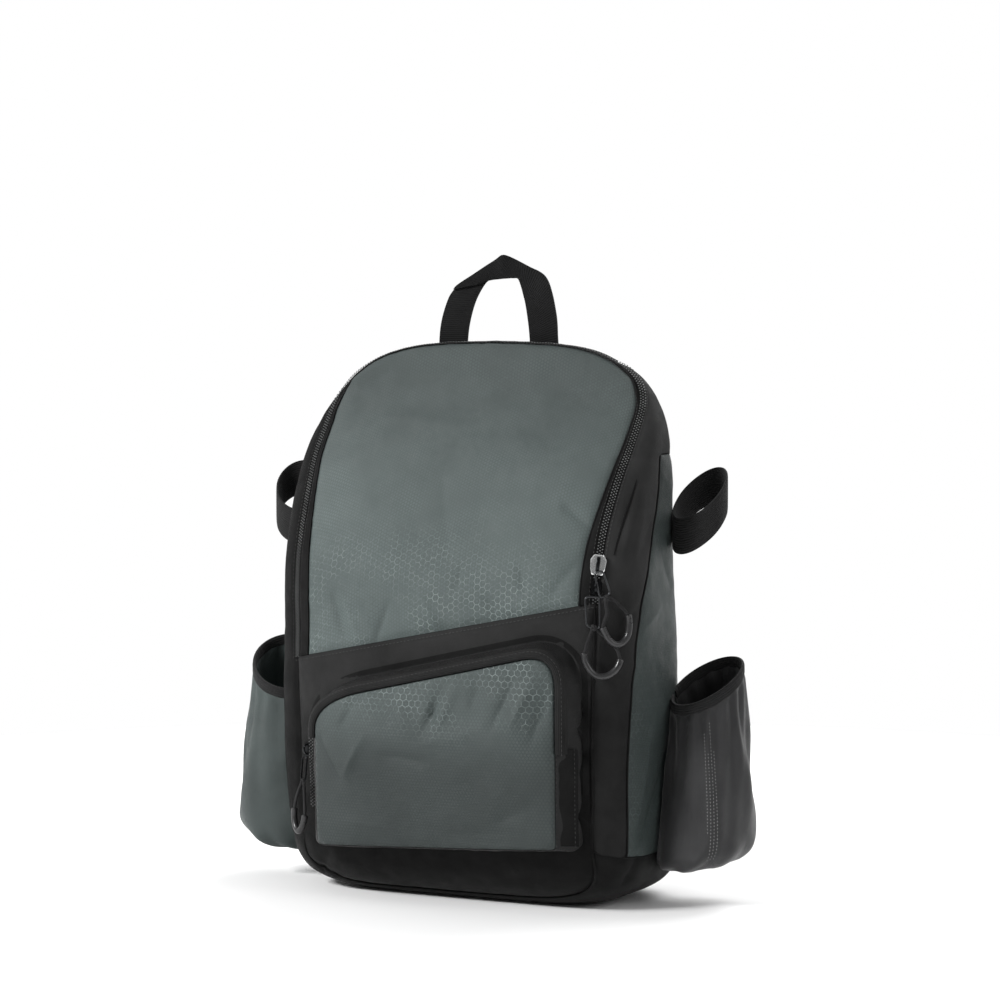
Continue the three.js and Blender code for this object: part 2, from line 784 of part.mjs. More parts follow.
// A point of a sleeve's outer face, by its angle, its profile row and a thickness to take off
function sleevePoint(side, angle, row, inset, lift = 0) {
  const radius = sleeveRadius[sideName(side)];
  const mouthX = halfWidth + radius - sleeveSet;
  const y = sleeveBack[sideName(side)];
  const mouthRadius = radius + cloth - inset;
  const rx = lerp(mouthRadius, sleeveBottomHalfWidth - inset, row.swell);
  const ry = lerp(mouthRadius, sleeveBottomHalfDepth - inset, row.swell);
  const dx = Math.cos(angle) * rx;
  const dy = Math.sin(angle) * ry;
  const mouth = sleeveMouthHeight + sleeveMouthOutRise * dx + sleeveMouthBackRise * dy + lift;
  return vec(side * (mouthX + dx), y + dy, lerp(mouth, sleeveFloor + inset, row.drop));
}

function batPocket(side) {
  const ring = (row, inset) =>
    Array.from({ length: sleeveSides }, (_, i) =>
      sleevePoint(side, (2 * Math.PI * i) / sleeveSides, row, inset),
    );
  const rings = [
    ...sleeveProfile.map((row) => ring(row, 0)),
    ...[...sleeveProfile].reverse().map((row) => ring(row, cloth)),
  ];
  const points = rings.flat();
  const n = sleeveSides;
  const half = sleeveProfile.length;
  const faces = [];
  for (let r = 0; r < rings.length; r++) {
    if (r === half - 1) continue;
    for (let i = 0; i < n; i++) {
      const k = (i + 1) % n;
      const a = r * n;
      const b = ((r + 1) % rings.length) * n;
      faces.push([a + i, b + i, b + k], [a + i, b + k, a + k]);
    }
  }
  for (const r of [half - 1, half]) {
    const centre = points.length;
    const middle = points.slice(r * n, r * n + n).reduce((sum, p) => sum.add(p), vec(0, 0, 0));
    points.push(middle.divideScalar(n));
    for (let i = 0; i < n; i++) {
      const k = (i + 1) % n;
      const face = [r * n + i, centre, r * n + k];
      faces.push(r === half ? face.reverse() : face);
    }
  }
  return trimmed(geometryOf(points, faces));
}

function batPocketBinding(side) {
  const frames = Array.from({ length: sleeveSides }, (_, i) => {
    const angle = (2 * Math.PI * i) / sleeveSides;
    const row = sleeveProfile[0];
    const at = sleevePoint(side, angle, row, cloth / 2, seam + bindingHeight / 2);
    const rise = sleeveMouthOutRise * Math.cos(angle) + sleeveMouthBackRise * Math.sin(angle);
    return { at, across: vec(side * Math.cos(angle), Math.sin(angle), rise), up: vec(0, 0, 1) };
  });
  return trimmed(sweep(frames, bandSection(bindingThickness, bindingHeight), true));
}

function batStrap(side) {
  const radius = loopRadius + loopThickness / 2;
  const frames = Array.from({ length: sleeveSides }, (_, i) => {
    const angle = (2 * Math.PI * i) / sleeveSides;
    const dx = Math.cos(angle) * radius;
    const dy = Math.sin(angle) * radius;
    const z = loopHeight + loopOutRise * dx + loopBackRise * dy;
    const at = vec(side * (halfWidth + radius - loopSet + dx), loopBack[sideName(side)] + dy, z);
    const out = vec(side * Math.cos(angle), Math.sin(angle), 0);
    return { at, across: out, up: vec(0, 0, 1) };
  });
  return trimmed(sweep(frames, bandSection(loopThickness, loopWidth, loopThickness / 3), true));
}

// The carry handle: two legs of webbing and a fold that bridges them in front

function slab(corners, front, back) {
  const shape = new THREE.Shape(corners.map(([x, z]) => new THREE.Vector2(x, z)));
  const geometry = new THREE.ExtrudeGeometry(shape, { depth: back - front, bevelEnabled: false });
  geometry.rotateX(Math.PI / 2);
  return geometry.translate(0, back, 0);
}

const handleSink = 12; // how far a leg's foot is let into the top before it is trimmed
function handleLeg(side) {
  const { rise, lean } = handleLegs[sideName(side)];
  const middle = (share) => side * (handleSpan / 2 - lean * share ** 1.8);
  const height = (share) => bagHeight + lerp(-handleSink, rise, share);
  const edge = (offset) => steps(0, 1, 5).map((t) => [middle(t) + offset, height(t)]);
  return [...edge(-webbingWidth / 2), ...edge(webbingWidth / 2).reverse()];
}

function carryHandle() {
  const y = bodyPoint(3, seamTurn("back", 3)).y;
  const top = (side) => {
    const { rise, lean } = handleLegs[sideName(side)];
    return { x: side * (handleSpan / 2 - lean + webbingWidth / 2), z: bagHeight + rise };
  };
  const [left, right] = [top(-1), top(1)];
  const lap = 4; // of the fold over the legs
  const peak = lerp(left.x, right.x, 0.57);
  const fold = [
    [left.x, left.z - lap],
    [right.x, right.z - lap],
    [right.x, right.z],
    [peak + lap, bagHeight + handleHeight],
    [peak - lap, bagHeight + handleHeight],
    [left.x, left.z],
  ];
  const front = y - webbingThickness;
  const legs = [-1, 1].map((side) => solidOf(slab(handleLeg(side), front, y)));
  const foldSlab = solidOf(slab(fold, front - webbingThickness, y));
  return trimmed(meshGeometry(legs[0].add(legs[1]).add(foldSlab)));
}

// The shoulder straps, which bow away from the back panel

function strapPoint(side, share) {
  const x = side * lerp(strapSpread.top, strapSpread.bottom, share ** 1.3);
  const z = lerp(strapTop, strapBottom, share);
  const fullness = Math.max(Math.sin(Math.PI * share ** 0.8), 0) ** 1.2;
  const bow = lerp(strapEndClear, strapBow, fullness);
  const p = backPoint(x, z);
  return p.add(vec(0, bow + strapThickness / 2, 0));
}

function anchorTopPoint(side) {
  return backPoint(side * anchorSpread, anchorHeight).add(vec(0, anchorThickness + 2 * seam, 0));
}

// A frame on the strap's middle line. The strap's end faces the lower anchor
function strapFrame(side, share) {
  const at = strapPoint(side, share);
  const ahead = share < 1 ? strapPoint(side, Math.min(share + 0.01, 1)) : anchorTopPoint(side);
  const behind = share < 1 ? strapPoint(side, Math.max(share - 0.01, 0)) : at;
  const along = ahead.sub(behind).normalize();
  const across = vec(0, 1, 0).cross(along).normalize();
  return { at, across, up: along.clone().cross(across).normalize(), along };
}

function shoulderStrap(side) {
  const shares = steps(0, 1, 12);
  const taper = (share) => 1 - 0.3 * Math.max(0, (share - 0.7) / 0.3) ** 2;
  const frames = shares.map((share) => {
    const frame = strapFrame(side, share);
    return { ...frame, across: frame.across.multiplyScalar(taper(share)) };
  });
  return trimmed(sweep(frames, bandSection(strapWidth, strapThickness, strapThickness / 3)));
}

// Below the strap: a buckle, and webbing from it to an anchor sewn on the back

function harness(side) {
  const end = strapFrame(side, 1);
  const buckleTop = end.at.clone().addScaledVector(end.along, seam);
  const anchorTop = anchorTopPoint(side);
  return { buckleTop, anchorTop, down: end.along, across: end.across, out: end.up };
}

function strapBuckle(side) {
  const { buckleTop, down, across, out } = harness(side);
  const wide = strapWebWidth / 2 + buckleRim + 1;
  const slot = (buckleHeight - 3 * buckleRim) / 2;
  const thick = buckleThickness / 2;
  let frame = solidOf(box(vec(-wide, -thick, -buckleHeight), vec(wide, thick, 0)));
  for (const top of [-buckleRim, -2 * buckleRim - slot]) {
    const hole = box(vec(buckleRim - wide, -thick - 1, top - slot), vec(wide - buckleRim, thick + 1, top));
    frame = frame.subtract(solidOf(hole));
  }
  const geometry = meshGeometry(frame);
  const turn = new THREE.Matrix4().makeBasis(across.clone().negate(), out, down.clone().negate());
  return geometry.applyMatrix4(turn.setPosition(buckleTop));
}

function strapWebbing(side) {
  const { buckleTop, anchorTop, down, across, out } = harness(side);
  const from = buckleTop.clone().addScaledVector(down, buckleHeight + seam);
  const frames = steps(0, 1, 3).map((share) => ({
    at: from.clone().lerp(anchorTop, share),
    across,
    up: out,
  }));
  return trimmed(sweep(frames, bandSection(strapWebWidth, strapWebThickness, strapWebThickness / 3)));
}

function strapAnchor(side) {
  const x = side * anchorSpread;
  const top = anchorHeight - seam - strapWebWidth / 4;
  const rows = steps(0, 1, 3).map((share) => {
    const wide = lerp(strapWebWidth, anchorWidth, share) / 2;
    return steps(-wide, wide, 3).map((dx) => backPoint(x + dx, top - anchorLength * share));
  });
  const lifted = (lift) =>
    rows.flat().map((p) => p.clone().addScaledVector(bodyNormal(p), lift));
  return thickSheet(lifted(anchorThickness + seam), lifted(seam), gridFaces(4, 4));
}

// The zip pulls, each in its own frame: x to the right, z up, and the bag's surface at y = 0

function slider() {
  const half = sliderWidth / 2;
  const nose = sliderLength / 2;
  const shield = [
    [-half * 0.6, -nose], [half * 0.6, -nose], [half, -nose * 0.1], [half, nose * 0.6],
    [half * 0.55, nose], [-half * 0.55, nose], [-half, nose * 0.6], [-half, -nose * 0.1],
  ];
  const plate = solidOf(slab(shield, -sliderThickness, 0));
  const top = sliderThickness + bridgeHole + bridgeBar;
  const reach = sliderLength * 0.38;
  const arch = box(vec(-bridgeWidth / 2, -top, -reach), vec(bridgeWidth / 2, -1, reach));
  const hole = box(
    vec(-bridgeWidth, -sliderThickness - bridgeHole, bridgeBar - reach),
    vec(bridgeWidth, -sliderThickness, reach - bridgeBar),
  );
  return meshGeometry(plate.add(solidOf(arch).subtract(solidOf(hole))));
}
const linkLift = sliderThickness + bridgeHole / 2;
const linkSeat = bridgeBar + linkWire / 2 + 2 * seam - sliderLength * 0.38; // the top bar's height
const linkFoot = linkWire - linkLength; // the bottom bar's middle, below the top bar's

// Below the slider, a pull hangs from the middle of the link's top bar
function link() {
  const wide = (linkWidth - linkWire) / 2;
  const corner = 2.2;
  const shape = new THREE.Shape();
  shape.moveTo(corner - wide, 0);
  shape.lineTo(wide - corner, 0);
  shape.lineTo(wide, -corner);
  shape.lineTo(wide, linkFoot + corner);
  shape.lineTo(wide - corner, linkFoot);
  shape.lineTo(corner - wide, linkFoot);
  shape.lineTo(-wide, linkFoot + corner);
  shape.lineTo(-wide, -corner);
  const outline = shape.getPoints(1);
  const frames = outline.map((q, i) => {
    const before = outline[(i + outline.length - 1) % outline.length].clone().sub(q).normalize();
    const after = outline[(i + 1) % outline.length].clone().sub(q).normalize();
    const across = after.clone().sub(before);
    across.set(-across.y, across.x).normalize();
    const widen = 1 / Math.sqrt((1 - before.dot(after)) / 2);
    return { at: vec(q.x, 0, q.y), across: vec(across.x, 0, across.y).setLength(widen), up: vec(0, 1, 0) };
  });
  return sweep(frames, bandSection(linkWire, linkWire, linkWire * 0.29), true);
}

// The grip and its cord are placed from the middle of the link's bottom bar
const gripTop = linkLength + linkSeat - gripDrop;
function gripCurve() {
  const points = [vec(-gripRadius, 0, gripTop)];
  for (const t of steps(0, 1, 8)) {
    const a = Math.PI * (1 + t);
    points.push(vec(gripRadius * Math.cos(a), 0, gripTop - 4 + gripRadius * Math.sin(a)));
  }
  points.push(vec(gripRadius, 0, gripTop));
  return new THREE.CatmullRomCurve3(points, false, "centripetal");
}
const pullGrip = () => tube(gripCurve(), gripDiameter, 12, 7);

function pullCord() {
  const past = (linkWire + cordDiameter) / 2 + 2 * seam;
  const end = gripTop + 2 * seam;
  const half = [
    vec(0, 0, past),
    vec(0.6, past, 0),
    vec(3, past, -4),
    vec(gripRadius - 3, past / 3, end + 5),
    vec(gripRadius, 0, end),
  ];
  const other = half.slice(1).reverse().map((p) => vec(-p.x, -p.y, p.z));
  const curve = new THREE.CatmullRomCurve3([...other, ...half], false, "centripetal");
  return tube(curve, cordDiameter, 22, 5);
}

// The assembly

const bag = new THREE.Group();
const materials = {
  grey: new THREE.MeshStandardMaterial({ color: 0x56625f, roughness: 0.62 }),
  black: new THREE.MeshStandardMaterial({ color: 0x1d1e1f, roughness: 0.7 }),
  sheen: new THREE.MeshStandardMaterial({ color: 0x33353a, roughness: 0.5 }),
  webbing: new THREE.MeshStandardMaterial({ color: 0x161617, roughness: 0.8 }),
  zipper: new THREE.MeshStandardMaterial({ color: 0x2b2d2e, roughness: 0.45 }),
  metal: new THREE.MeshStandardMaterial({ color: 0xb9bdbf, roughness: 0.3, metalness: 1 }),
  darkMetal: new THREE.MeshStandardMaterial({ color: 0x3c3e40, roughness: 0.35, metalness: 1 }),
  rubber: new THREE.MeshStandardMaterial({ color: 0x2a2b2c, roughness: 0.4 }),
};

function add(name, geometry, material, parent = bag) {
  const mesh = new THREE.Mesh(geometry, materials[material]);
  mesh.name = name;
  parent.add(mesh);
  return mesh;
}

add("front_panel", frontPanel(), "grey");
add("lower_front_panel", lowerFrontPanel(), "black");
add("zip_strip", zipStrip(), "black");
add("main_zipper", mainZipper(), "zipper");
add("gusset", gusset(), "black");
add("base_panel", basePanel(), "black");
add("back_panel", backPanel(), "black");
add("pocket_face", pocketFace(), "grey");
add("pocket_wall", pocketWall(), "black");
add("pocket_zipper", pocketZipper(), "zipper");
add("carry_handle", carryHandle(), "webbing");
for (const [name, side] of [["left", -1], ["right", 1]]) {
  add("side_panel_" + name, sidePanel(side), "grey");
  add("bat_pocket_" + name, batPocket(side), side < 0 ? "grey" : "sheen");
  add("bat_pocket_binding_" + name, batPocketBinding(side), "webbing");
  add("bat_strap_" + name, batStrap(side), "webbing");
  add("shoulder_strap_" + name, shoulderStrap(side), "black");
  add("strap_buckle_" + name, strapBuckle(side), "rubber");
  add("strap_webbing_" + name, strapWebbing(side), "webbing");
  add("strap_anchor_" + name, strapAnchor(side), "black");
}

// A pull: its slider sits square on the body at a point, and the rest hangs straight down but
// leans out from the cloth and swings to the right, and its grip can twist, all in degrees
function addPull(name, point, pull) {
  const inward = bodyNormal(point).negate();
  const across = inward.clone().cross(vec(0, 0, 1)).normalize();
  const up = across.clone().cross(inward);
  const square = new THREE.Matrix4().makeBasis(across, inward, up);
  square.setPosition(point.clone().addScaledVector(inward, -pull.lift));
  const place = new THREE.Group();
  place.applyMatrix4(square);
  bag.add(place);
  const body = add(name + "_slider", slider(), pull.metal, place);
  body.rotation.y = radians(pull.sliderTurn);

  const hanging = new THREE.Group();
  hanging.position.copy(vec(0, -linkLift, linkSeat).applyMatrix4(square));
  hanging.rotation.set(-radians(pull.linkLean), 0, Math.atan2(across.y, across.x), "ZXY");
  bag.add(hanging);
  const linked = new THREE.Group();
  linked.rotation.y = -radians(pull.linkSwing);
  hanging.add(linked);
  add(name + "_link", link(), "darkMetal", linked);
  const gripped = new THREE.Group();
  gripped.position.z = linkFoot;
  const swing = radians(pull.linkSwing - pull.gripSwing);
  gripped.rotation.set(radians(pull.linkLean - pull.gripLean), swing, radians(pull.twist), "ZXY");
  linked.add(gripped);
  add(name + "_cord", pullCord(), "webbing", gripped);
  add(name + "_grip", pullGrip(), "rubber", gripped);
}

// Two pulls meet on the main zipper at the right, and one hangs from the end of the pocket's zipper
const pulls = {
  upper: {
    aboveSlant: 30, lift: seam, metal: "metal", sliderTurn: 0,
    linkLean: 21, linkSwing: 16, gripLean: 7, gripSwing: 26, twist: 0,
  },
  lower: {
    aboveSlant: 9, lift: seam, metal: "darkMetal", sliderTurn: 0,
    linkLean: 3, linkSwing: -2, gripLean: 3, gripSwing: 2, twist: 0,
  },
  pocket: {
    upEdge: 0.65, lift: zipThickness + 2 * seam, metal: "darkMetal", sliderTurn: 0,
    linkLean: 5, linkSwing: 0, gripLean: 5, gripSwing: 0, twist: -20,
  },
};
for (const name of ["upper", "lower"]) {
  const zipTurn = (s) => seamTurn("zip", s);
  const station = stationOnSlant(1, zipTurn, pulls[name].aboveSlant);
  addPull(name + "_pull", bodyPoint(station, zipTurn(station)), pulls[name]);
}
const pocketPullX = pocketLeft - pocketWallSpread - zipWidth;
const pocketPullHeight = lerp(
  pocketBottom + pocketBottomRise * pocketLeft,
  pocketTop + pocketTopRise * pocketLeft,
  pulls.pocket.upEdge,
);
addPull("pocket_pull", frontPoint(pocketPullX, pocketPullHeight), pulls.pocket);

export default bag;
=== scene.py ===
"""A youth baseball backpack: cloth shell, front pocket, bat sleeves, elastic loops and straps."""

import json
import math

import bpy
import numpy as np
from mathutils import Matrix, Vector

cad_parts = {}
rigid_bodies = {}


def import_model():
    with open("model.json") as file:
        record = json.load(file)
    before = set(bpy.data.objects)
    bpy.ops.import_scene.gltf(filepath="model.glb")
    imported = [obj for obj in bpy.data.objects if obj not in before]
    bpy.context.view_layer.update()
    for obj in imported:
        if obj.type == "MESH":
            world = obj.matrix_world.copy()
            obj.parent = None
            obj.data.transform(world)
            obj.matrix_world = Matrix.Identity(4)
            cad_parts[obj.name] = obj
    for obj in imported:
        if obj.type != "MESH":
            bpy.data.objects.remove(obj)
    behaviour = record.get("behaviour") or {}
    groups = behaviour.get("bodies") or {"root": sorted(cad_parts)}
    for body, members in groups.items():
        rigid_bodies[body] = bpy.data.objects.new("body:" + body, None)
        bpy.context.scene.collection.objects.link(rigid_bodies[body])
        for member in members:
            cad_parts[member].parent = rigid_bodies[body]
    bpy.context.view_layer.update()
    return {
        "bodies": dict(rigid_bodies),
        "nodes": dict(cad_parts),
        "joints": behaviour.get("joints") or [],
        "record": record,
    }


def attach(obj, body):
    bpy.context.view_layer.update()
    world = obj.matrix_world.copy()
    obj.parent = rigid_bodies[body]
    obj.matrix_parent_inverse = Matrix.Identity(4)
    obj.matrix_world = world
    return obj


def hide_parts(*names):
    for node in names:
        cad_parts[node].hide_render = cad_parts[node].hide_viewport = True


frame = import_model()

# Everything below is worked out in millimetres and made in metres.
MM = 0.001

# The body's form

BAG_HEIGHT, BAG_WIDTH, BAG_DEPTH = 450.0, 320.0, 170.0
TOP_ARCH = BAG_HEIGHT / 3
BASE_CORNER = BAG_HEIGHT * 0.2045
BASE_FLAT = 2.0
PILLOW_POWER, TOP_POWER, BASE_POWER = 4.0, 3.4, 5.0
SEAM = 0.3
SLANT_HEIGHT, SLANT_RISE = BAG_HEIGHT * 0.487, 0.2
ZIP_WIDTH = 6.0
SIDE_PANEL_TOP, BASE_SEAM, ARCH_CORNER = 2.25, 0.69, 2.5
HALF_WIDTH, HALF_DEPTH = BAG_WIDTH / 2, BAG_DEPTH / 2
ARCH_FOOT = BAG_HEIGHT - TOP_ARCH
CORNER_TOP = BASE_CORNER - BASE_FLAT

# columns: share of the height, front and back in shares of half the depth
DEPTH_ROWS = np.array(
    [
        (0.00, -0.94, 0.95),
        (0.13, -0.99, 0.97),
        (0.27, -1.01, 0.90),
        (0.44, -1.02, 0.79),
        (0.58, -1.00, 0.69),
        (0.65, -0.91, 0.64),
        (0.71, -0.76, 0.59),
        (0.78, -0.54, 0.53),
        (0.84, -0.29, 0.47),
        (0.89, -0.11, 0.41),
        (0.93, -0.01, 0.37),
        (1.00, 0.07, 0.31),
    ]
)
# columns: station, then the turns of the panel, zip, side and back seams
SEAM_ROWS = np.array(
    [
        (0.00, -50, -39, -34, 37),
        (0.45, -50, -40, -34, 38),
        (0.69, -50, -46, -33, 43),
        (1.00, -50, -46, -33, 46),
        (1.27, -50, -46, -31, 47),
        (1.65, -49.6, -45, -24, 47),
        (1.87, -49, -44.6, -12, 47),
        (2.10, -47, -43.6, -4, 46),
        (2.25, -44.3, -41, -6, 43),
        (2.36, -40, -36, -6, 39),
        (2.44, -33, -26, 0, 36),
        (2.52, -26, -12, 6, 34),
        (2.65, -20, 0, 12, 33),
        (3.00, -13, 6, 14, 33),
    ]
)


def table_curve(keys, values):
    """A smooth curve through a table's column, by its key column."""
    last = len(keys) - 1
    before = np.maximum(np.arange(last + 1) - 1, 0)
    after = np.minimum(np.arange(last + 1) + 1, last)
    slopes = (values[after] - values[before]) / (keys[after] - keys[before])

    def at(x):
        x = np.clip(x, keys[0], keys[-1])
        i = np.clip(np.searchsorted(keys, x), 1, last) - 1
        span = keys[i + 1] - keys[i]
        t = (x - keys[i]) / span
        bend = (t - 1) ** 2 * t * slopes[i] + (t - 1) * t * t * slopes[i + 1]
        ease = t * t * (3 - 2 * t)
        return values[i] + (values[i + 1] - values[i]) * ease + bend * span

    return at


front_share = table_curve(DEPTH_ROWS[:, 0], DEPTH_ROWS[:, 1])
back_share = table_curve(DEPTH_ROWS[:, 0], DEPTH_ROWS[:, 2])
seam_curve = {
    name: table_curve(SEAM_ROWS[:, 0], SEAM_ROWS[:, k + 1])
    for k, name in enumerate(("panel", "zip", "side", "back"))
}


def middle_at(z):
    return HALF_DEPTH * (front_share(z / BAG_HEIGHT) + back_share(z / BAG_HEIGHT)) / 2


def half_depth_at(z):
    return HALF_DEPTH * (back_share(z / BAG_HEIGHT) - front_share(z / BAG_HEIGHT)) / 2


def seam_turn(name, station):
    return seam_curve[name](np.abs(station))


def outline_share(x, z):
    wide = np.abs(x) / HALF_WIDTH
    high = np.maximum(z - ARCH_FOOT, 0) / TOP_ARCH
    low = np.maximum(CORNER_TOP - z, 0) / BASE_CORNER
    top = (wide**TOP_POWER + high**TOP_POWER) ** (1 / TOP_POWER)
    base = (wide**BASE_POWER + low**BASE_POWER) ** (1 / BASE_POWER)
    return np.where(z > ARCH_FOOT, top, np.where(z < CORNER_TOP, base, wide))


def fullness(x, y, z):
    """Below 1 inside the body and above 1 outside it."""
    across = np.abs((y - middle_at(z)) / half_depth_at(z))
    return outline_share(x, z) ** PILLOW_POWER + across**PILLOW_POWER


def body_normal(p):
    x, y, z = p[..., 0], p[..., 1], p[..., 2]
    h = 0.05
    n = np.stack(
        [
            fullness(x + h, y, z) - fullness(x - h, y, z),
            fullness(x, y + h, z) - fullness(x, y - h, z),
            fullness(x, y, z + h) - fullness(x, y, z - h),
        ],
        -1,
    )
    return n / np.maximum(np.linalg.norm(n, axis=-1, keepdims=True), 1e-12)


def rounded_quarter(power, angle):
    across = np.maximum(np.cos(angle), 0)
    up = np.maximum(np.sin(angle), 0)
    reach = (across**power + up**power) ** (-1 / power)
    return across * reach, up * reach


def body_point(station, turn):
    """A point of the body by its station and turn, both in any matching shapes."""
    station, turn = np.broadcast_arrays(np.asarray(station, float), np.asarray(turn, float))
    s = np.abs(station)
    side = np.where(station < 0, -1.0, 1.0)
    ax, az = rounded_quarter(TOP_POWER, np.radians(90 * np.clip(s - 2, 0, 1)))
    cx, cz = rounded_quarter(BASE_POWER, np.radians(90 * np.clip(1 - s, 0, 1)))
    straight = CORNER_TOP + (ARCH_FOOT - CORNER_TOP) * np.clip(s - 1, 0, 1)
    x = np.where(s > 2, ax, np.where(s < 1, cx, 1.0)) * HALF_WIDTH
    z = np.where(s > 2, ARCH_FOOT + TOP_ARCH * az, straight)
    z = np.where(s < 1, CORNER_TOP - BASE_CORNER * cz, z)
    middle = np.where(s > 2, ARCH_FOOT, np.where(s < 1, CORNER_TOP, straight))
    out, along = rounded_quarter(PILLOW_POWER, np.radians(np.abs(turn)))
    z = middle + (z - middle) * out
    y = middle_at(z) + np.sign(turn) * along * half_depth_at(z)
    return np.stack([side * x * out, y, z], -1)


def face_y(x, z, side=-1):
    share = np.minimum(outline_share(x, z), 1)
    return middle_at(z) + side * half_depth_at(z) * (1 - share**PILLOW_POWER) ** (1 / PILLOW_POWER)


def face_point(x, z, side=-1):
    x, z = np.broadcast_arrays(np.asarray(x, float), np.asarray(z, float))
    return np.stack([x, face_y(x, z, side), z], -1)


def moved_turn(station, turn, distance):
    ahead, behind = body_point(station, turn + 0.5), body_point(station, turn - 0.5)
    return turn + distance / np.linalg.norm(ahead - behind, axis=-1)


def beside(name, shift):
    """The turn of a line that runs beside a seam, as a function of the station."""

    def turn_at(station):
        return moved_turn(station, seam_turn(name, station), shift)

    return turn_at


def station_on_slant(side, turn_at, lift=0.0):
    low, high = 1.0, 2.0
    for _ in range(40):
        s = (low + high) / 2
        x, _, z = body_point(side * s, turn_at(s))
        if z < SLANT_HEIGHT + SLANT_RISE * x + lift:
            low = s
        else:
            high = s
    return low


# Noise, folds and puff


def value_noise(p, size, seed=0):
    """Smooth noise from -1 to 1 at points p, with features of a size in millimetres."""
    q = p / size
    cell = np.floor(q).astype(np.int64)
    t = q - cell
    t = t * t * (3 - 2 * t)
    total = np.zeros(p.shape[:-1])
    for corner in range(8):
        step = np.array([corner & 1, corner >> 1 & 1, corner >> 2 & 1])
        k = cell + step
        h = k[..., 0] * 374761393 + k[..., 1] * 668265263 + k[..., 2] * 2147483647 + seed * 974711
        h = (h ^ (h >> 13)) * 1274126177 & 0x7FFFFFFF
        h = (h ^ (h >> 16)) & 0xFFFF
        weight = np.prod(np.where(step == 1, t, 1 - t), axis=-1)
        total += weight * (h / 32767.5 - 1)
    return total


def cloud(p, size, seed=0, octaves=3):
    return sum(value_noise(p, size / 2**k, seed + k) / 2**k for k in range(octaves)) / 1.6


def fold_height(p, folds):
    """Soft ridges and creases. Each fold runs from a to b and fades out at both ends."""
    total = np.zeros(p.shape[:-1])
    for a, b, width, height in folds:
        a, b = np.array(a, float), np.array(b, float)
        along = b - a
        t = np.clip(((p - a) @ along) / (along @ along), 0, 1)
        off = np.linalg.norm(p - (a + t[..., None] * along), axis=-1)
        crease = np.exp(-(np.sqrt(off**2 + 0.36) - 0.6) / (0.62 * width))
        total += height * crease * np.sin(math.pi * np.clip(t, 0.02, 0.98)) ** 0.6
    return total


# The soft creases and ridges of the filled bag.
# columns: from, to, width and height in millimetres
BODY_FOLDS = [
    ((-12, -50, 344), (12, -84, 269), 11, -1.5),
    ((23, -83, 274), (17, -86, 250), 5, -1.2),
    ((72, -82, 276), (79, -85, 250), 5, -1.4),
    ((-99, -83, 249), (-82, -85, 207), 5.5, -2.4),
    ((-88, -84, 252), (-68, -86, 206), 7, 1.6),
    ((-42, -86, 242), (-57, -86, 206), 6, -1.9),
    ((100, -60, 323), (130, -64, 300), 8, -1.8),
    ((86, 6, 430), (118, 26, 431), 8, -1.8),
    ((97, -83, 248), (122, -74, 280), 8, -1.8),
    ((-126, -64, 307), (-88, -77, 285), 12, -1.7),
    ((-122, 2, 413), (-88, 5, 428), 12, -2.0),
    ((78, -41, 358), (123, -23, 374), 11, 1.9),
    ((-18, -85, 257), (1, -87, 222), 8, 1.4),
    ((42, -86, 249), (60, -86, 228), 7, -1.4),
    ((-94, -15, 388), (10, -23, 379), 18, 1.2),
    ((109, -82, 161), (134, -75, 135), 4.5, 2.6),
    ((110, -81, 146), (132, -76, 118), 4.0, -2.4),
    ((112, -81, 139), (124, -77, 108), 5.0, 2.4),
    ((106, -81, 109), (133, -74, 133), 3.5, -2.2),
    ((108, -80, 90), (132, -74, 70), 5.0, 2.6),
    ((113, -81, 180), (128, -77, 155), 4.5, -2.6),
    ((110, -80, 68), (130, -70, 52), 4.0, -2.4),
    ((150.8, -36, 338), (145.4, -63, 285), 3.2, -2.0),
    ((154, -33, 340), (149.5, -59, 282), 5.0, 2.6),
    ((157, -32, 333), (155, -54, 261), 9, 1.4),
    ((160, -20, 312), (149, -64, 259), 6, -1.8),
    ((151, -63, 222), (159, -36, 252), 6, -2.0),
    ((148, -66, 208), (157, -42, 190), 7, 1.6),
    ((156, -45, 49), (159, 21, 143), 9, -2.4),
    ((158, -45, 222), (160, -5, 243), 12, 1.9),
    ((160, -25, 148), (156, -48, 62), 10, 2.0),
    ((159, -10, 300), (160, 18, 250), 14, -2.0),
    ((-128, -64, 25), (-100, -64, 9), 3.6, -2.6),
    ((-102, -76, 37), (-124, -58, 9), 3.6, -2.6),
    ((-136, -60, 40), (-112, -66, 18), 5.0, 2.2),
    ((134, -69, 42), (152, -40, 25), 5.0, -2.6),
    ((158, -39, 50), (146, -47, 20), 4.5, -2.2),
    ((141, -67, 64), (130, -67, 27), 6.0, 2.2),
    ((-60, -80, 22), (10, -80, 18), 6.0, 1.4),
    ((40, -80, 20), (100, -78, 26), 6.0, -1.6),
    ((-156, -42, 60), (-158, -20, 130), 9, -2.2),
    ((-158, -8, 180), (-160, 20, 240), 12, 1.8),
    (body_point(-0.75, -36), body_point(-2.35, -20), 40, 6.5),
    (body_point(-1.15, 44), body_point(-2.0, 43), 9, -1.8),
    (body_point(1.15, 44), body_point(2.0, 43), 9, -1.8),
]


def lift_of(p):
    """How far the cloth stands off the ideal body at a point, the same for every panel."""
    low_calm = np.clip(p[..., 2] / 12, 0, 1)
    unevenness = 1.1 * cloud(p, 75, 3) + 0.55 * cloud(p, 24, 9) + 0.16 * value_noise(p, 8, 13)
    return (1.35 * fold_height(p, BODY_FOLDS) + unevenness) * low_calm


def skin(station, turn, off=0.0):
    p = body_point(station, turn)
    return p + body_normal(p) * (lift_of(p) + off)[..., None]


def skin_of(p, off=0.0):
    q = p + body_normal(p) * (lift_of(p) + off)[..., None]
    q[..., 2] = np.maximum(q[..., 2], 0)
    return q


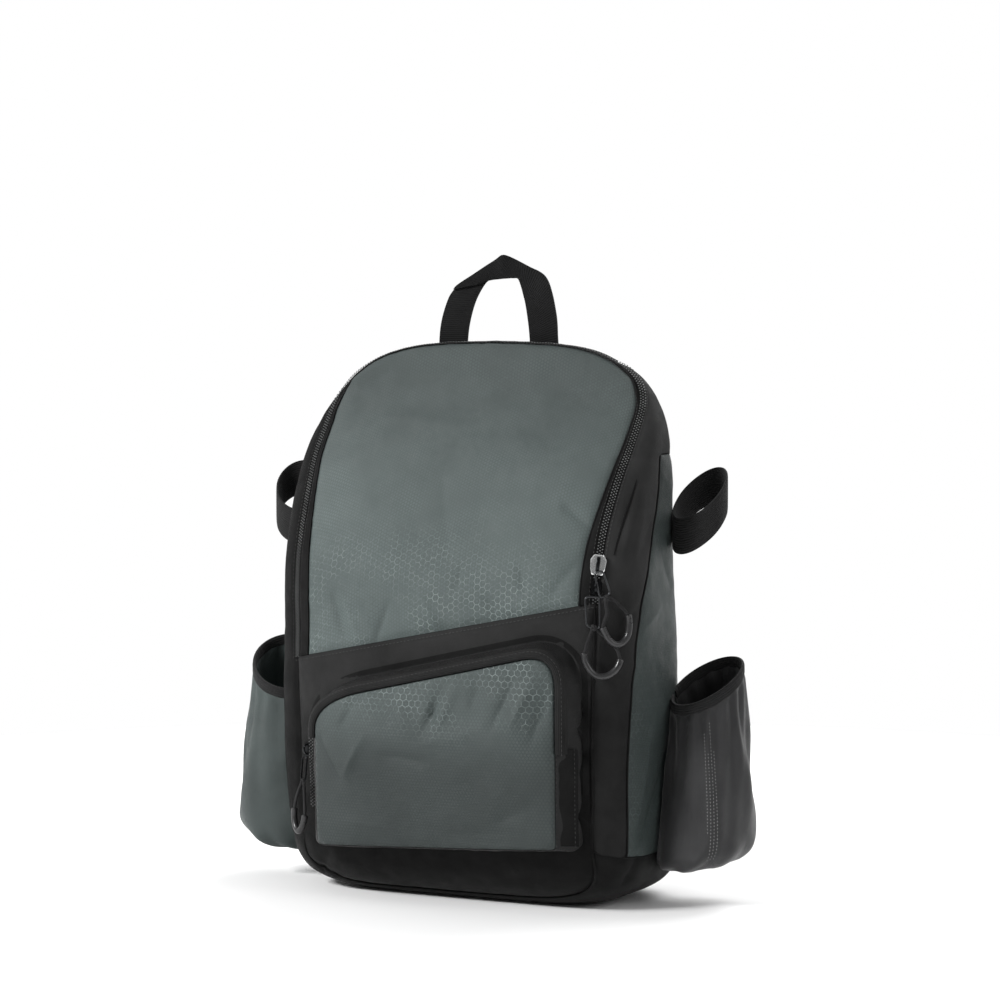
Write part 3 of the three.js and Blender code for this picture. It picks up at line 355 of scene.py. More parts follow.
def border_distance(grid, sides="1111"):
    """Distance along the cloth to the nearest chosen border: first and last row, then column."""
    rows = np.linalg.norm(np.diff(grid, axis=0), axis=-1)
    cols = np.linalg.norm(np.diff(grid, axis=1), axis=-1)
    zero_row = np.zeros((1, grid.shape[1]))
    zero_col = np.zeros((grid.shape[0], 1))
    down = np.concatenate([zero_row, np.cumsum(rows, 0)], 0)
    right = np.concatenate([zero_col, np.cumsum(cols, 1)], 1)
    every = [down, down[-1:] - down, right, right[:, -1:] - right]
    chosen = [d for d, use in zip(every, sides) if use == "1"]
    return np.min(chosen, axis=0) if chosen else np.full(grid.shape[:2], 1e3)


def arc_uv(grid):
    """Each point's place on the flat cloth, in metres, from arc lengths along rows and columns."""
    rows = np.linalg.norm(np.diff(grid, axis=0), axis=-1)
    cols = np.linalg.norm(np.diff(grid, axis=1), axis=-1)
    v = np.concatenate([np.zeros((1, grid.shape[1])), np.cumsum(rows, 0)], 0)
    u = np.concatenate([np.zeros((grid.shape[0], 1)), np.cumsum(cols, 1)], 1)
    return np.stack([u - u.mean(1, keepdims=True), v - v.mean(0, keepdims=True)], -1) * MM


def upholster(base, puff=1.2, dip=1.3, dip_width=3.0, sides="1111", pucker=0.25, seed=1):
    """Sewn cloth over points on the body: full in the middle, pulled in and puckered at seams."""
    d = border_distance(base, sides)
    amount = lift_of(base)
    amount += puff * (1 - np.exp(-d / 14)) - dip * np.exp(-((d / dip_width) ** 2))
    amount += pucker * value_noise(base, 5, seed) * np.exp(-d / 9)
    grid = base + body_normal(base) * amount[..., None]
    grid[..., 2] = np.maximum(grid[..., 2], 0)
    return grid


# Meshes

BODY_MIDDLE = np.array([0.0, 0.0, 200.0])


def grid_normals(grid, wrap):
    if wrap:
        across = np.roll(grid, -1, 1) - np.roll(grid, 1, 1)
    else:
        across = np.gradient(grid, axis=1)
    n = np.cross(np.gradient(grid, axis=0), across)
    return n / np.maximum(np.linalg.norm(n, axis=-1, keepdims=True), 1e-9)


def new_object(name, points, faces, uvs, material, sharp=50):
    """A mesh piece. points are in millimetres; uvs hold one place per corner of each face."""
    mesh = bpy.data.meshes.new(name)
    mesh.from_pydata((np.asarray(points) * MM).tolist(), [], faces)
    if uvs is not None:
        layer = mesh.uv_layers.new(name="cloth")
        layer.data.foreach_set("uv", np.asarray(uvs, np.float32).ravel())
    mesh.materials.append(material)
    mesh.shade_smooth()
    mesh.set_sharp_from_angle(angle=math.radians(sharp))
    piece = bpy.data.objects.new(name, mesh)
    bpy.context.scene.collection.objects.link(piece)
    return piece


def shell(name, grid, material, thick=1.6, wrap=False, keep=None, away=BODY_MIDDLE, uv=None, sharp=50):
    """Cloth of a thickness whose outer face is a grid of points."""
    n, m = grid.shape[:2]
    normal = grid_normals(grid, wrap)
    if np.sum(normal * (grid - away)) < 0:
        normal = -normal
    columns = m if wrap else m - 1
    i, j = np.meshgrid(np.arange(n - 1), np.arange(columns), indexing="ij")
    i, j = i.ravel(), j.ravel()
    if keep is not None:
        chosen = keep(i, j)
        i, j = i[chosen], j[chosen]
    corners = [(i, j), (i, j + 1), (i + 1, j + 1), (i + 1, j)]
    faces = np.stack([a * m + b % m for a, b in corners], 1)
    if uv is None:
        uv = arc_uv(np.concatenate([grid, grid[:, :1]], 1) if wrap else grid)
    place = np.stack([uv[a, b] for a, b in corners], 1)
    a, b, c = (grid.reshape(-1, 3)[faces[:, k]] for k in (0, 1, 2))
    facing = np.sum(np.cross(b - a, c - a) * normal.reshape(-1, 3)[faces[:, 0]])
    if facing < 0:
        faces, place = faces[:, ::-1], place[:, ::-1]
    points = grid.reshape(-1, 3)
    all_faces, all_uv = [faces], [place]
    if thick:
        count = len(points)
        points = np.concatenate([points, points - normal.reshape(-1, 3) * thick])
        all_faces.append(faces[:, ::-1] + count)
        all_uv.append(place[:, ::-1])
        starts = faces.ravel()
        ends = np.roll(faces, -1, 1).ravel()
        spots = place.reshape(-1, 2)
        next_spots = np.roll(place, -1, 1).reshape(-1, 2)
        key = starts.astype(np.int64) * count + ends
        lone = ~np.isin(ends.astype(np.int64) * count + starts, key)
        s, e = starts[lone], ends[lone]
        all_faces.append(np.stack([e, s, s + count, e + count], 1))
        here, there = spots[lone], next_spots[lone]
        all_uv.append(np.stack([there, here, here + thick * MM, there + thick * MM], 1))
    return new_object(
        name, points, np.concatenate(all_faces).tolist(), np.concatenate(all_uv), material, sharp
    )


def unit(v):
    return v / np.maximum(np.linalg.norm(v, axis=-1, keepdims=True), 1e-12)


def rail_frames(path, up_hint=None, closed=False):
    """Directions along, across and up at each point of a path."""
    if closed:
        along = unit(np.roll(path, -1, 0) - np.roll(path, 1, 0))
    else:
        along = unit(np.gradient(path, axis=0))
    if up_hint is not None:
        up = unit(up_hint - np.sum(up_hint * along, -1, keepdims=True) * along)
        return along, unit(np.cross(along, up)), up
    up = np.zeros_like(path)
    first = np.array([0.0, 0.0, 1.0]) if abs(along[0][2]) < 0.9 else np.array([1.0, 0.0, 0.0])
    up[0] = unit(first - (first @ along[0]) * along[0])
    for k in range(1, len(path)):
        up[k] = unit(up[k - 1] - (up[k - 1] @ along[k]) * along[k])
    return along, unit(np.cross(along, up)), up


def sweep(name, path, section, material, up_hint=None, closed=False, scale=None, sharp=50):
    """A closed section carried along a path. The section's first axis goes across, its second up."""
    _, across, up = rail_frames(path, up_hint, closed)
    section = np.asarray(section, float)
    sizes = np.ones((len(path), 2)) if scale is None else np.asarray(scale, float)
    a = section[None, :, :1] * sizes[:, None, :1]
    b = section[None, :, 1:] * sizes[:, None, 1:]
    grid = path[:, None] + a * across[:, None] + b * up[:, None]
    n, m = grid.shape[:2]
    rows = n if closed else n - 1
    i, j = np.meshgrid(np.arange(rows), np.arange(m), indexing="ij")
    i, j = i.ravel(), j.ravel()
    corners = [(i, j), (i, j + 1), (i + 1, j + 1), (i + 1, j)]
    faces = np.stack([(p % n) * m + q % m for p, q in corners], 1)
    edge = np.linalg.norm(np.diff(np.concatenate([section, section[:1]]), axis=0), axis=-1)
    u = np.concatenate([[0], np.cumsum(edge)]) * MM
    steps = np.linalg.norm(np.diff(np.concatenate([path, path[:1]]), axis=0), axis=-1)
    v = np.concatenate([[0], np.cumsum(steps)]) * MM
    place = np.stack([np.stack([u[q], v[p]], -1) for p, q in corners], 1)
    p0, p1, p2 = (grid.reshape(-1, 3)[faces[:, k]] for k in (0, 1, 2))
    outward = p0 - path[(i % n)]
    if np.sum(np.cross(p1 - p0, p2 - p0) * outward) < 0:
        faces, place = faces[:, ::-1], place[:, ::-1]
    face_list = faces.tolist()
    uv_list = place.reshape(-1, 2).tolist()
    if not closed:
        first, last = list(range(m)), list(range((n - 1) * m, n * m))
        turning = np.cross(grid[0, 1] - grid[0, 0], grid[0, 2] - grid[0, 1])
        flipped = np.sum(turning * (path[1] - path[0])) > 0
        face_list += [first[::-1] if flipped else first, last if flipped else last[::-1]]
        uv_list += [[0, 0]] * (2 * m)
    return new_object(name, grid.reshape(-1, 3), face_list, uv_list, material, sharp)


def round_section(diameter, sides=10):
    a = np.linspace(0, 2 * math.pi, sides, endpoint=False)
    return np.stack([np.cos(a), np.sin(a)], 1) * diameter / 2


def band_section(width, thick, per_side=8, power=8):
    """A flat band with rounded edges, crowned a little."""
    a = np.linspace(0, 2 * math.pi, 4 * per_side, endpoint=False)
    c, s = np.cos(a), np.sin(a)
    reach = (np.abs(c) ** power + np.abs(s) ** power) ** (-1 / power)
    return np.stack([c * reach * width / 2, s * reach * thick / 2], 1)


def smooth_path(points, count):
    """Evenly spaced points on a smooth curve through the given ones."""
    p = np.asarray(points, float)
    seg = np.linalg.norm(np.diff(p, axis=0), axis=-1) ** 0.5
    t = np.concatenate([[0], np.cumsum(seg)])
    fine = np.linspace(0, t[-1], 40 * len(p))
    curve = np.stack([table_curve(t, p[:, k])(fine) for k in range(3)], 1)
    return resample(curve, count)


def run_of(curve):
    """How far along a curve each of its points lies."""
    return np.concatenate([[0], np.cumsum(np.linalg.norm(np.diff(curve, axis=0), axis=-1))])


def resample(curve, count):
    length = run_of(curve)
    at = np.linspace(0, length[-1], count)
    return np.stack([np.interp(at, length, curve[:, k]) for k in range(3)], 1)


def path_length(curve):
    return float(np.sum(np.linalg.norm(np.diff(curve, axis=0), axis=-1)))


def scatter(name, template, template_faces, places, material, sharp=60):
    """Many copies of a small form in one mesh. places are 3 x 4 arrays of axes and origin."""
    points = np.concatenate([template @ m[:, :3].T + m[:, 3] for m in places])
    step = len(template)
    faces = [[v + k * step for v in f] for k in range(len(places)) for f in template_faces]
    corners = sum(len(f) for f in faces)
    return new_object(name, points, faces, np.zeros((corners, 2)), material, sharp)


def bead_template(length, width, height, rings=3, sides=6):
    """A small rounded bar along x, standing on z = 0 at half its height."""
    points = [(-length / 2, 0, 0)]
    for r in range(rings):
        t = (r + 1) / (rings + 1)
        girth = math.sin(math.pi * t) ** 0.45
        for k in range(sides):
            a = 2 * math.pi * k / sides
            out, rise = math.cos(a) * width / 2 * girth, math.sin(a) * height / 2 * girth
            points.append(((t - 0.5) * length, out, rise))
    points.append((length / 2, 0, 0))
    faces = [[0, 1 + (k + 1) % sides, 1 + k] for k in range(sides)]
    for r in range(rings - 1):
        a, b = 1 + r * sides, 1 + (r + 1) * sides
        faces += [[a + k, a + (k + 1) % sides, b + (k + 1) % sides, b + k] for k in range(sides)]
    end, tip = 1 + (rings - 1) * sides, len(points) - 1
    faces += [[end + k, end + (k + 1) % sides, tip] for k in range(sides)]
    return np.array(points), faces


def spread_hint(up, count):
    """Upward directions along a path, spread evenly over another number of points."""
    at, known = np.linspace(0, 1, count), np.linspace(0, 1, len(up))
    return np.stack([np.interp(at, known, up[:, k]) for k in range(3)], 1)


def steady(direction, path):
    """The same direction for every point of a path."""
    return np.tile(direction, (len(path), 1))


def stitches(name, path, up, material, pitch=3.4, length=2.5, girth=0.55):
    """A row of thread stitches along a path, half sunk in the cloth."""
    count = max(int(path_length(path) / pitch), 2)
    fine = resample(path, count)
    along, across, above = rail_frames(fine, spread_hint(up, count))
    template, faces = bead_template(length, girth, girth * 0.9, rings=2, sides=5)
    places = [
        np.stack([along[k], across[k], above[k], fine[k] + above[k] * girth * 0.12], 1)
        for k in range(count)
    ]
    return scatter(name, template, faces, places, material)


# Materials


class Shader:
    """A short way to build a material's nodes."""

    def __init__(self, name, base, roughness, metallic=0.0, **constants):
        self.material = bpy.data.materials.new(name)
        self.material.use_nodes = True
        self.tree = self.material.node_tree
        self.bsdf = self.tree.nodes["Principled BSDF"]
        self.set(self.bsdf, "Base Color", (*base, 1.0))
        self.set(self.bsdf, "Roughness", roughness)
        self.set(self.bsdf, "Metallic", metallic)
        for socket, value in constants.items():
            self.set(self.bsdf, socket.replace("_", " "), value)
        self.height = None

    def set(self, node, socket, value):
        target = node.inputs[socket]
        if isinstance(value, bpy.types.NodeSocket):
            self.tree.links.new(value, target)
        else:
            target.default_value = value

    def node(self, kind, out=0, inputs=(), **settings):
        made = self.tree.nodes.new("ShaderNode" + kind)
        for key, value in settings.items():
            setattr(made, key, value)
        for socket, value in dict(inputs).items():
            self.set(made, socket, value)
        return made.outputs[out]

    def maths(self, operation, a, b=0.0, c=0.0):
        return self.node("Math", inputs={0: a, 1: b, 2: c}, operation=operation)

    def vector(self, operation, a, b=(0, 0, 0), out=0):
        return self.node("VectorMath", out, {0: a, 1: b}, operation=operation)

    def uv(self):
        return self.node("TexCoord", "UV")

    def place(self):
        return self.node("TexCoord", "Object")

    def noise(self, where, scale, detail=3.0, roughness=0.55, low=0.0, high=1.0):
        value = self.node(
            "TexNoise", 0, {"Vector": where, "Scale": scale, "Detail": detail, "Roughness": roughness}
        )
        return self.node(
            "MapRange", 0, {"Value": value, "From Min": 0.3, "From Max": 0.7, "To Min": low, "To Max": high}
        )

    def bump(self, height, distance, strength=1.0):
        """Adds a height in metres to what the surface already has."""
        inputs = {"Height": height, "Distance": distance, "Strength": strength}
        if self.height is not None:
            inputs["Normal"] = self.height
        self.height = self.node("Bump", 0, inputs)

    def weave(self, where, pitch, twist=0.0):
        """Crossing threads of a pitch in metres."""
        turned = self.node(
            "Mapping", 0, {"Vector": where, "Rotation": (0, 0, twist), "Scale": (1 / pitch,) * 3}
        )
        split = self.tree.nodes.new("ShaderNodeSeparateXYZ")
        self.set(split, 0, turned)
        a = self.maths("SINE", self.maths("MULTIPLY", split.outputs[0], 2 * math.pi))
        b = self.maths("SINE", self.maths("MULTIPLY", split.outputs[1], 2 * math.pi))
        return self.maths("MULTIPLY", a, b)

    def ribs(self, where, pitch, axis):
        split = self.tree.nodes.new("ShaderNodeSeparateXYZ")
        self.set(split, 0, where)
        return self.maths("SINE", self.maths("MULTIPLY", split.outputs[axis], 2 * math.pi / pitch))

    def hexagons(self, where, size):
        """Distance to the walls of a honeycomb, from 0 on a wall to 0.5 in a cell's middle."""
        wide, tall = size, size * math.sqrt(3)
        scaled = self.vector("DIVIDE", where, (wide, tall, 1))
        first = self.vector("FRACTION", scaled)
        first = self.vector("SUBTRACT", first, (0.5, 0.5, 0))
        second = self.vector("FRACTION", self.vector("ADD", scaled, (0.5, 0.5, 0)))
        second = self.vector("SUBTRACT", second, (0.5, 0.5, 0))
        flat = (1, math.sqrt(3), 0)
        first = self.vector("ABSOLUTE", self.vector("MULTIPLY", first, flat))
        second = self.vector("ABSOLUTE", self.vector("MULTIPLY", second, flat))
        distance = []
        for cell in (first, second):
            slant = self.vector("DOT_PRODUCT", cell, (0.5, math.sqrt(3) / 2, 0), out="Value")
            split = self.tree.nodes.new("ShaderNodeSeparateXYZ")
            self.set(split, 0, cell)
            distance.append(self.maths("MAXIMUM", slant, split.outputs[0]))
        return self.maths("SUBTRACT", 0.5, self.maths("MINIMUM", *distance))

    def ramp(self, value, low, high, to_low=0.0, to_high=1.0):
        return self.node(
            "MapRange",
            0,
            {"Value": value, "From Min": low, "From Max": high, "To Min": to_low, "To Max": to_high},
            interpolation_type="SMOOTHSTEP",
        )

    def tint(self, factor, dark, light):
        return self.node(
            "Mix", 2, {0: factor, 6: (*dark, 1.0), 7: (*light, 1.0)}, data_type="RGBA"
        )

    def brighten(self, colour, bright):
        grey = self.node("CombineXYZ", inputs={0: bright, 1: bright, 2: bright})
        return self.vector("MULTIPLY", colour, grey)

    def done(self):
        if self.height is not None:
            self.set(self.bsdf, "Normal", self.height)
        return self.material


def plain_cloth(
    name, dark, light, pitch=0.0007, roughness=0.75, crease=0.0009, sheen=0.05, twist=0.6,
    gloss=0.2, shade=(0, 0.01, 1.0, 1.0), turn=(0, 0.01, 1.0, 1.0), upright=False,
):
    """Tightly woven cloth with a little unevenness.

    shade is two heights in metres and how bright the cloth is below and above them, and turn is
    the same from left to right; both are painted light and shade in the colour. An upright cloth
    is woven in its front view, whatever its UVs."""
    s = Shader(name, light, roughness, Sheen_Weight=sheen, Sheen_Roughness=0.4, Specular_IOR_Level=gloss)
    uv, place = s.uv(), s.place()
    if upright:
        uv = s.node("Mapping", inputs={"Vector": place, "Rotation": (math.pi / 2, 0, 0)})
    # Painted light and shade: the colour is made brighter or darker by height and from left to right.
    bright = s.ramp(s.node("SeparateXYZ", 2, {0: place}), *shade)
    bright = s.maths("MULTIPLY", bright, s.ramp(s.node("SeparateXYZ", 0, {0: place}), *turn))
    ground = s.tint(s.noise(place, 16, 5), dark, light)
    ground = s.brighten(ground, bright)
    s.set(s.bsdf, "Base Color", ground)
    s.set(s.bsdf, "Roughness", s.noise(place, 60, 4, low=roughness - 0.08, high=roughness + 0.08))
    s.bump(s.noise(place, 45, 6, 0.6), crease, 0.5)
    s.bump(s.weave(uv, pitch, twist), pitch * 0.25, 0.5)
    return s.done()


def honeycomb_cloth(name, dark, light, ridge_highlight, fade, shade=(0, 0.01, 1.0, 1.0), roughness=0.5):
    """Coated cloth embossed with a honeycomb that shows in some places more than in others. Its walls
    are painted from a darker grey to the lighter colour of the ridges: painted shade and painted
    highlight where light would catch the emboss.

    fade is two heights in metres and how clear the honeycomb and its painted highlights are below
    and above them; shade is the same for how bright the cloth is, painted light and shade by height."""
    s = Shader(name, light, roughness, Sheen_Weight=0.04, Sheen_Roughness=0.4, Specular_IOR_Level=0.3)
    uv, place = s.uv(), s.place()
    wall = s.ramp(s.hexagons(uv, 0.0054), 0.01, 0.075, 1.0, 0.0)
    fine = s.ramp(s.hexagons(uv, 0.00155), 0.03, 0.2, 1.0, 0.0)
    split = s.tree.nodes.new("ShaderNodeSeparateXYZ")
    s.set(split, 0, place)
    height = s.ramp(split.outputs[2], *fade)
    patchy = s.maths("MAXIMUM", s.noise(place, 21, 5, 0.65, low=-0.2, high=1.15), 0.0)
    broken = s.ramp(s.noise(place, 190, 2), 0.2, 0.65, 0.15, 1.0)
    patchy = s.maths("MULTIPLY", patchy, broken)
    shown = s.maths("MULTIPLY", s.maths("MULTIPLY", wall, height), patchy)
    # The walls' colour runs from a darker grey to the lighter colour of the ridges: painted shade and painted
    # highlight on the emboss.
    line = s.tint(s.ramp(s.noise(place, 13, 3), 0.25, 0.6), tuple(0.6 * c for c in dark), ridge_highlight)
    ground = s.tint(s.noise(place, 9, 5), dark, light)
    # Painted light and shade: the cloth is brightened or darkened by height.
    bright = s.ramp(split.outputs[2], *shade)
    small = s.ramp(s.hexagons(uv, 0.0029), 0.04, 0.3, 0.0, 1.0)
    mottled = s.maths("MULTIPLY", small, s.noise(place, 33, 3, low=0.06, high=0.32))
    bright = s.maths("MULTIPLY", bright, s.maths("ADD", mottled, 0.86))
    ground = s.brighten(ground, bright)
    colour = s.node("Mix", 2, {0: s.maths("MULTIPLY", shown, 0.72), 6: ground, 7: line}, data_type="RGBA")
    s.set(s.bsdf, "Base Color", colour)
    s.set(s.bsdf, "Roughness", s.noise(place, 50, 4, low=roughness - 0.07, high=roughness + 0.09))
    s.bump(s.noise(place, 26, 6, 0.6), 0.0011, 0.5)
    s.bump(fine, 0.00012, 0.6)
    s.bump(shown, 0.00035, 0.8)
    s.bump(s.weave(uv, 0.0006), 0.0001, 0.5)
    return s.done()


def ribbed_web(name, dark, light, pitch, axis=1, roughness=0.8, depth=0.00022):
    """Webbing or elastic, with ribs along one axis and fine threads across them."""
    s = Shader(name, light, roughness, Sheen_Weight=0.03, Sheen_Roughness=0.5, Specular_IOR_Level=0.12)
    uv, place = s.uv(), s.place()
    s.set(s.bsdf, "Base Color", s.tint(s.noise(place, 30, 5), dark, light))
    s.bump(s.noise(place, 70, 5), 0.0005, 0.4)
    s.bump(s.ribs(uv, pitch, axis), depth, 0.8)
    s.bump(s.weave(uv, pitch * 0.6, 0.78), depth * 0.6, 0.5)
    return s.done()


def metal(name, base, roughness):
    s = Shader(name, base, roughness, metallic=1.0)
    place = s.place()
    s.set(s.bsdf, "Roughness", s.noise(place, 150, 2, low=roughness - 0.04, high=roughness + 0.08))
    s.bump(s.noise(place, 220, 2), 0.00003, 0.2)
    return s.done()


def moulded(name, dark, light, roughness, grain=1500):
    s = Shader(name, light, roughness, Specular_IOR_Level=0.5)
    place = s.place()
    s.set(s.bsdf, "Base Color", s.tint(s.noise(place, 90, 4), dark, light))
    s.set(s.bsdf, "Roughness", s.noise(place, 400, 4, low=roughness - 0.06, high=roughness + 0.1))
    s.bump(s.noise(place, grain, 3), 0.00004, 0.5)
    return s.done()


# The third grey is the lighter colour of the honeycomb's ridges, a painted highlight.
GREY_DARK, GREY_LIGHT, GREY_RIDGE_HIGHLIGHT = (0.066, 0.084, 0.082), (0.094, 0.117, 0.114), (0.36, 0.42, 0.41)
BLACK_DARK, BLACK_LIGHT = (0.0045, 0.0045, 0.0045), (0.0098, 0.0098, 0.0098)

GREYS = (GREY_DARK, GREY_LIGHT, GREY_RIDGE_HIGHLIGHT)
# The side panels are the front's grey cloth painted about a third as bright, for the shade on the side away from the
# light: painted shade.
SHADED_SIDE_GREYS = ((0.022, 0.031, 0.03), (0.036, 0.048, 0.046), (0.09, 0.115, 0.112))

# Painted shade by height: the upper panel darkens towards its crest, the pocket towards its bottom and the side
# panels towards their tops. Their fade sets where the honeycomb's painted highlights show.
grey_upper = honeycomb_cloth("grey_upper", *GREYS, (0.235, 0.32, 1.0, 0.08), (0.3, 0.43, 1.0, 0.66))
grey_pocket = honeycomb_cloth("grey_pocket", *GREYS, (0.125, 0.175, 0.0, 1.0), (0.1, 0.165, 0.4, 0.75))
shaded_grey_side = honeycomb_cloth("shaded_grey_side", *SHADED_SIDE_GREYS, (0.02, 0.4, 1.0, 0.3), (0.24, 0.36, 1.0, 0.6))
grey_sleeve = plain_cloth("grey_sleeve", (0.038, 0.047, 0.046), (0.061, 0.075, 0.073), 0.0009, 0.5)
black_cloth = plain_cloth("black_cloth", BLACK_DARK, BLACK_LIGHT, sheen=0.01, gloss=0.13)
# Painted light and shade: the gusset's black is brighter towards the top and the right, and darker on the left.
gusset_black_lit_and_shaded = plain_cloth(
    "gusset_black_lit_and_shaded", BLACK_DARK, BLACK_LIGHT, sheen=0.01, gloss=0.13,
    shade=(0.2, 0.28, 1.0, 1.6), turn=(0.0, 0.15, 0.4, 2.1),
)
# Painted light and shade: the lower front's black is brightest at the band under the slanted seam and much darker
# towards the base.
black_satin_lit_and_shaded = plain_cloth(
    "black_satin_lit_and_shaded", (0.009, 0.009, 0.009), (0.017, 0.017, 0.017),
    roughness=0.55, gloss=0.13, sheen=0.02, shade=(0.1, 0.19, 0.12, 1.4),
)
wall_satin = plain_cloth(
    "wall_satin", (0.004, 0.004, 0.004), (0.008, 0.008, 0.008), roughness=0.42, gloss=0.26
)
# Painted shade: the base is a darker black than the rest of the black cloth, for the shade under the bag; the same
# black serves the front seams and the cover edge.
shade_and_seam_black = plain_cloth("shade_and_seam_black", (0.0025, 0.0025, 0.0025), (0.005, 0.005, 0.005), gloss=0.16)
band_cloth = ribbed_web("band_cloth", (0.011, 0.011, 0.011), (0.02, 0.02, 0.02), 0.0014, axis=0)
stretch_cloth = plain_cloth(
    "stretch_cloth", (0.02, 0.02, 0.021), (0.04, 0.04, 0.041), 0.0011, 0.42, sheen=0.2, twist=0.3
)
MESH_BLACKS = ((0.008, 0.008, 0.008), (0.018, 0.018, 0.019))
spacer_mesh = plain_cloth("spacer_mesh", *MESH_BLACKS, 0.0028, 0.9, sheen=0.1)
pad_mesh = plain_cloth("pad_mesh", *MESH_BLACKS, 0.0028, 0.9, sheen=0.1, upright=True)
webbing = ribbed_web("webbing", (0.0045, 0.0045, 0.0046), (0.0095, 0.0095, 0.0097), 0.0017)
elastic = ribbed_web("elastic", (0.0125, 0.0125, 0.0127), (0.024, 0.024, 0.0242), 0.0019, axis=0)
zip_tape = ribbed_web("zip_tape", (0.0035, 0.0035, 0.0035), (0.007, 0.007, 0.0072), 0.0011, axis=0)
coil = moulded("coil", (0.06, 0.063, 0.062), (0.14, 0.145, 0.144), 0.4)
thread = moulded("thread", (0.02, 0.02, 0.02), (0.04, 0.04, 0.04), 0.7)
pale_thread = moulded("pale_thread", (0.16, 0.16, 0.16), (0.26, 0.26, 0.26), 0.6)
bright_metal = metal("bright_metal", (0.78, 0.79, 0.79), 0.22)
dark_metal = metal("dark_metal", (0.07, 0.072, 0.075), 0.32)
black_metal = metal("black_metal", (0.02, 0.021, 0.022), 0.3)
rubber = moulded("rubber", (0.016, 0.016, 0.0165), (0.028, 0.028, 0.029), 0.3)
buckle_plastic = moulded("buckle_plastic", (0.012, 0.012, 0.0125), (0.02, 0.02, 0.021), 0.45)
cord_braid = ribbed_web("cord_braid", (0.022, 0.022, 0.0225), (0.045, 0.045, 0.046), 0.0009, axis=1)


def fit(piece, slot, *nodes):
    """Puts a finished piece on the bag, in the place of some plain solids."""
    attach(piece, "root")
    if nodes:
        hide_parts(*nodes)
    return piece


# The shell's panels


def coons(bottom, right, top, left):
    """A four-sided patch between its edges, as places in the front view."""
    u = np.linspace(0, 1, len(bottom))[:, None, None]
    v = np.linspace(0, 1, len(right))[None, :, None]
    between = bottom[:, None] * (1 - v) + top[:, None] * v + left[None] * (1 - u) + right[None] * u
    low = bottom[0] * (1 - u) + bottom[-1] * u
    high = top[0] * (1 - u) + top[-1] * u
    return between - low * (1 - v) - high * v


SIDE_COUNT, TOP_COUNT = 110, 150


def upper_edges(turn_at, shift=SEAM / 2):
    """Right, top and left edges, from left to right and upwards."""
    right = np.linspace(station_on_slant(1, turn_at, shift), ARCH_CORNER, SIDE_COUNT)
    left = -np.linspace(station_on_slant(-1, turn_at, shift), ARCH_CORNER, SIDE_COUNT)
    half = TOP_COUNT // 2
    top = np.concatenate([-np.linspace(ARCH_CORNER, 3, half), np.linspace(3, ARCH_CORNER, half)])
    return [body_point(s, turn_at(np.abs(s)))[:, [0, 2]] for s in (right, top, left)]


def slant_line(start, end, shift, count):
    x = np.linspace(start, end, count)
    return np.stack([x, SLANT_HEIGHT + SLANT_RISE * x + shift], 1)


def front_panel():
    right, top, left = upper_edges(beside("panel", -SEAM / 2))
    bottom = slant_line(left[0][0], right[0][0], SEAM / 2, TOP_COUNT)
    xz = coons(bottom, right, top, left)
    base = face_point(xz[..., 0], xz[..., 1])
    return shell("front_panel_cloth", upholster(base, puff=1.6, seed=2), grey_upper)


def lower_front():
    edge = beside("zip", -SEAM / 2)
    right = np.linspace(BASE_SEAM, station_on_slant(1, edge, -SEAM / 2), 100)
    left = np.linspace(BASE_SEAM, station_on_slant(-1, edge, -SEAM / 2), 100)
    floor = np.linspace(-BASE_SEAM, BASE_SEAM, TOP_COUNT)
    right, left, bottom = (
        body_point(s, edge(np.abs(s)))[:, [0, 2]] for s in (right, -left, floor)
    )
    top = slant_line(left[-1][0], right[-1][0], -SEAM / 2, TOP_COUNT)
    xz = coons(bottom, right, top, left)
    base = face_point(xz[..., 0], xz[..., 1])
    return shell("lower_front_cloth", upholster(base, seed=3), black_satin_lit_and_shaded)


def ring_stations(turn_at, count=130):
    right = np.linspace(station_on_slant(1, turn_at, SEAM / 2), 3, count)
    left = np.linspace(3, station_on_slant(-1, turn_at, SEAM / 2), count)
    return np.concatenate([right, -left[1:]])


def band(from_turn, to_turn, columns):
    """Points over the top from right to left, between two lines beside the seams."""
    first, last = ring_stations(from_turn), ring_stations(to_turn)
    share = np.linspace(0, 1, columns)[None]
    same_side = (np.sign(first) == np.sign(last))[:, None]
    between = first[:, None] * (1 - share) + last[:, None] * share
    station = np.where(same_side, between, first[:, None])
    turn = from_turn(np.abs(first))[:, None] * (1 - share) + to_turn(np.abs(last))[:, None] * share
    return body_point(station, turn)


def zip_strip():
    base = band(beside("panel", SEAM / 2), beside("zip", -ZIP_WIDTH / 2 - SEAM / 2), 9)
    cloth = upholster(base, puff=0.2, dip=0.5, dip_width=1.0, seed=5)
    return shell("zip_strip_cloth", cloth, black_cloth)


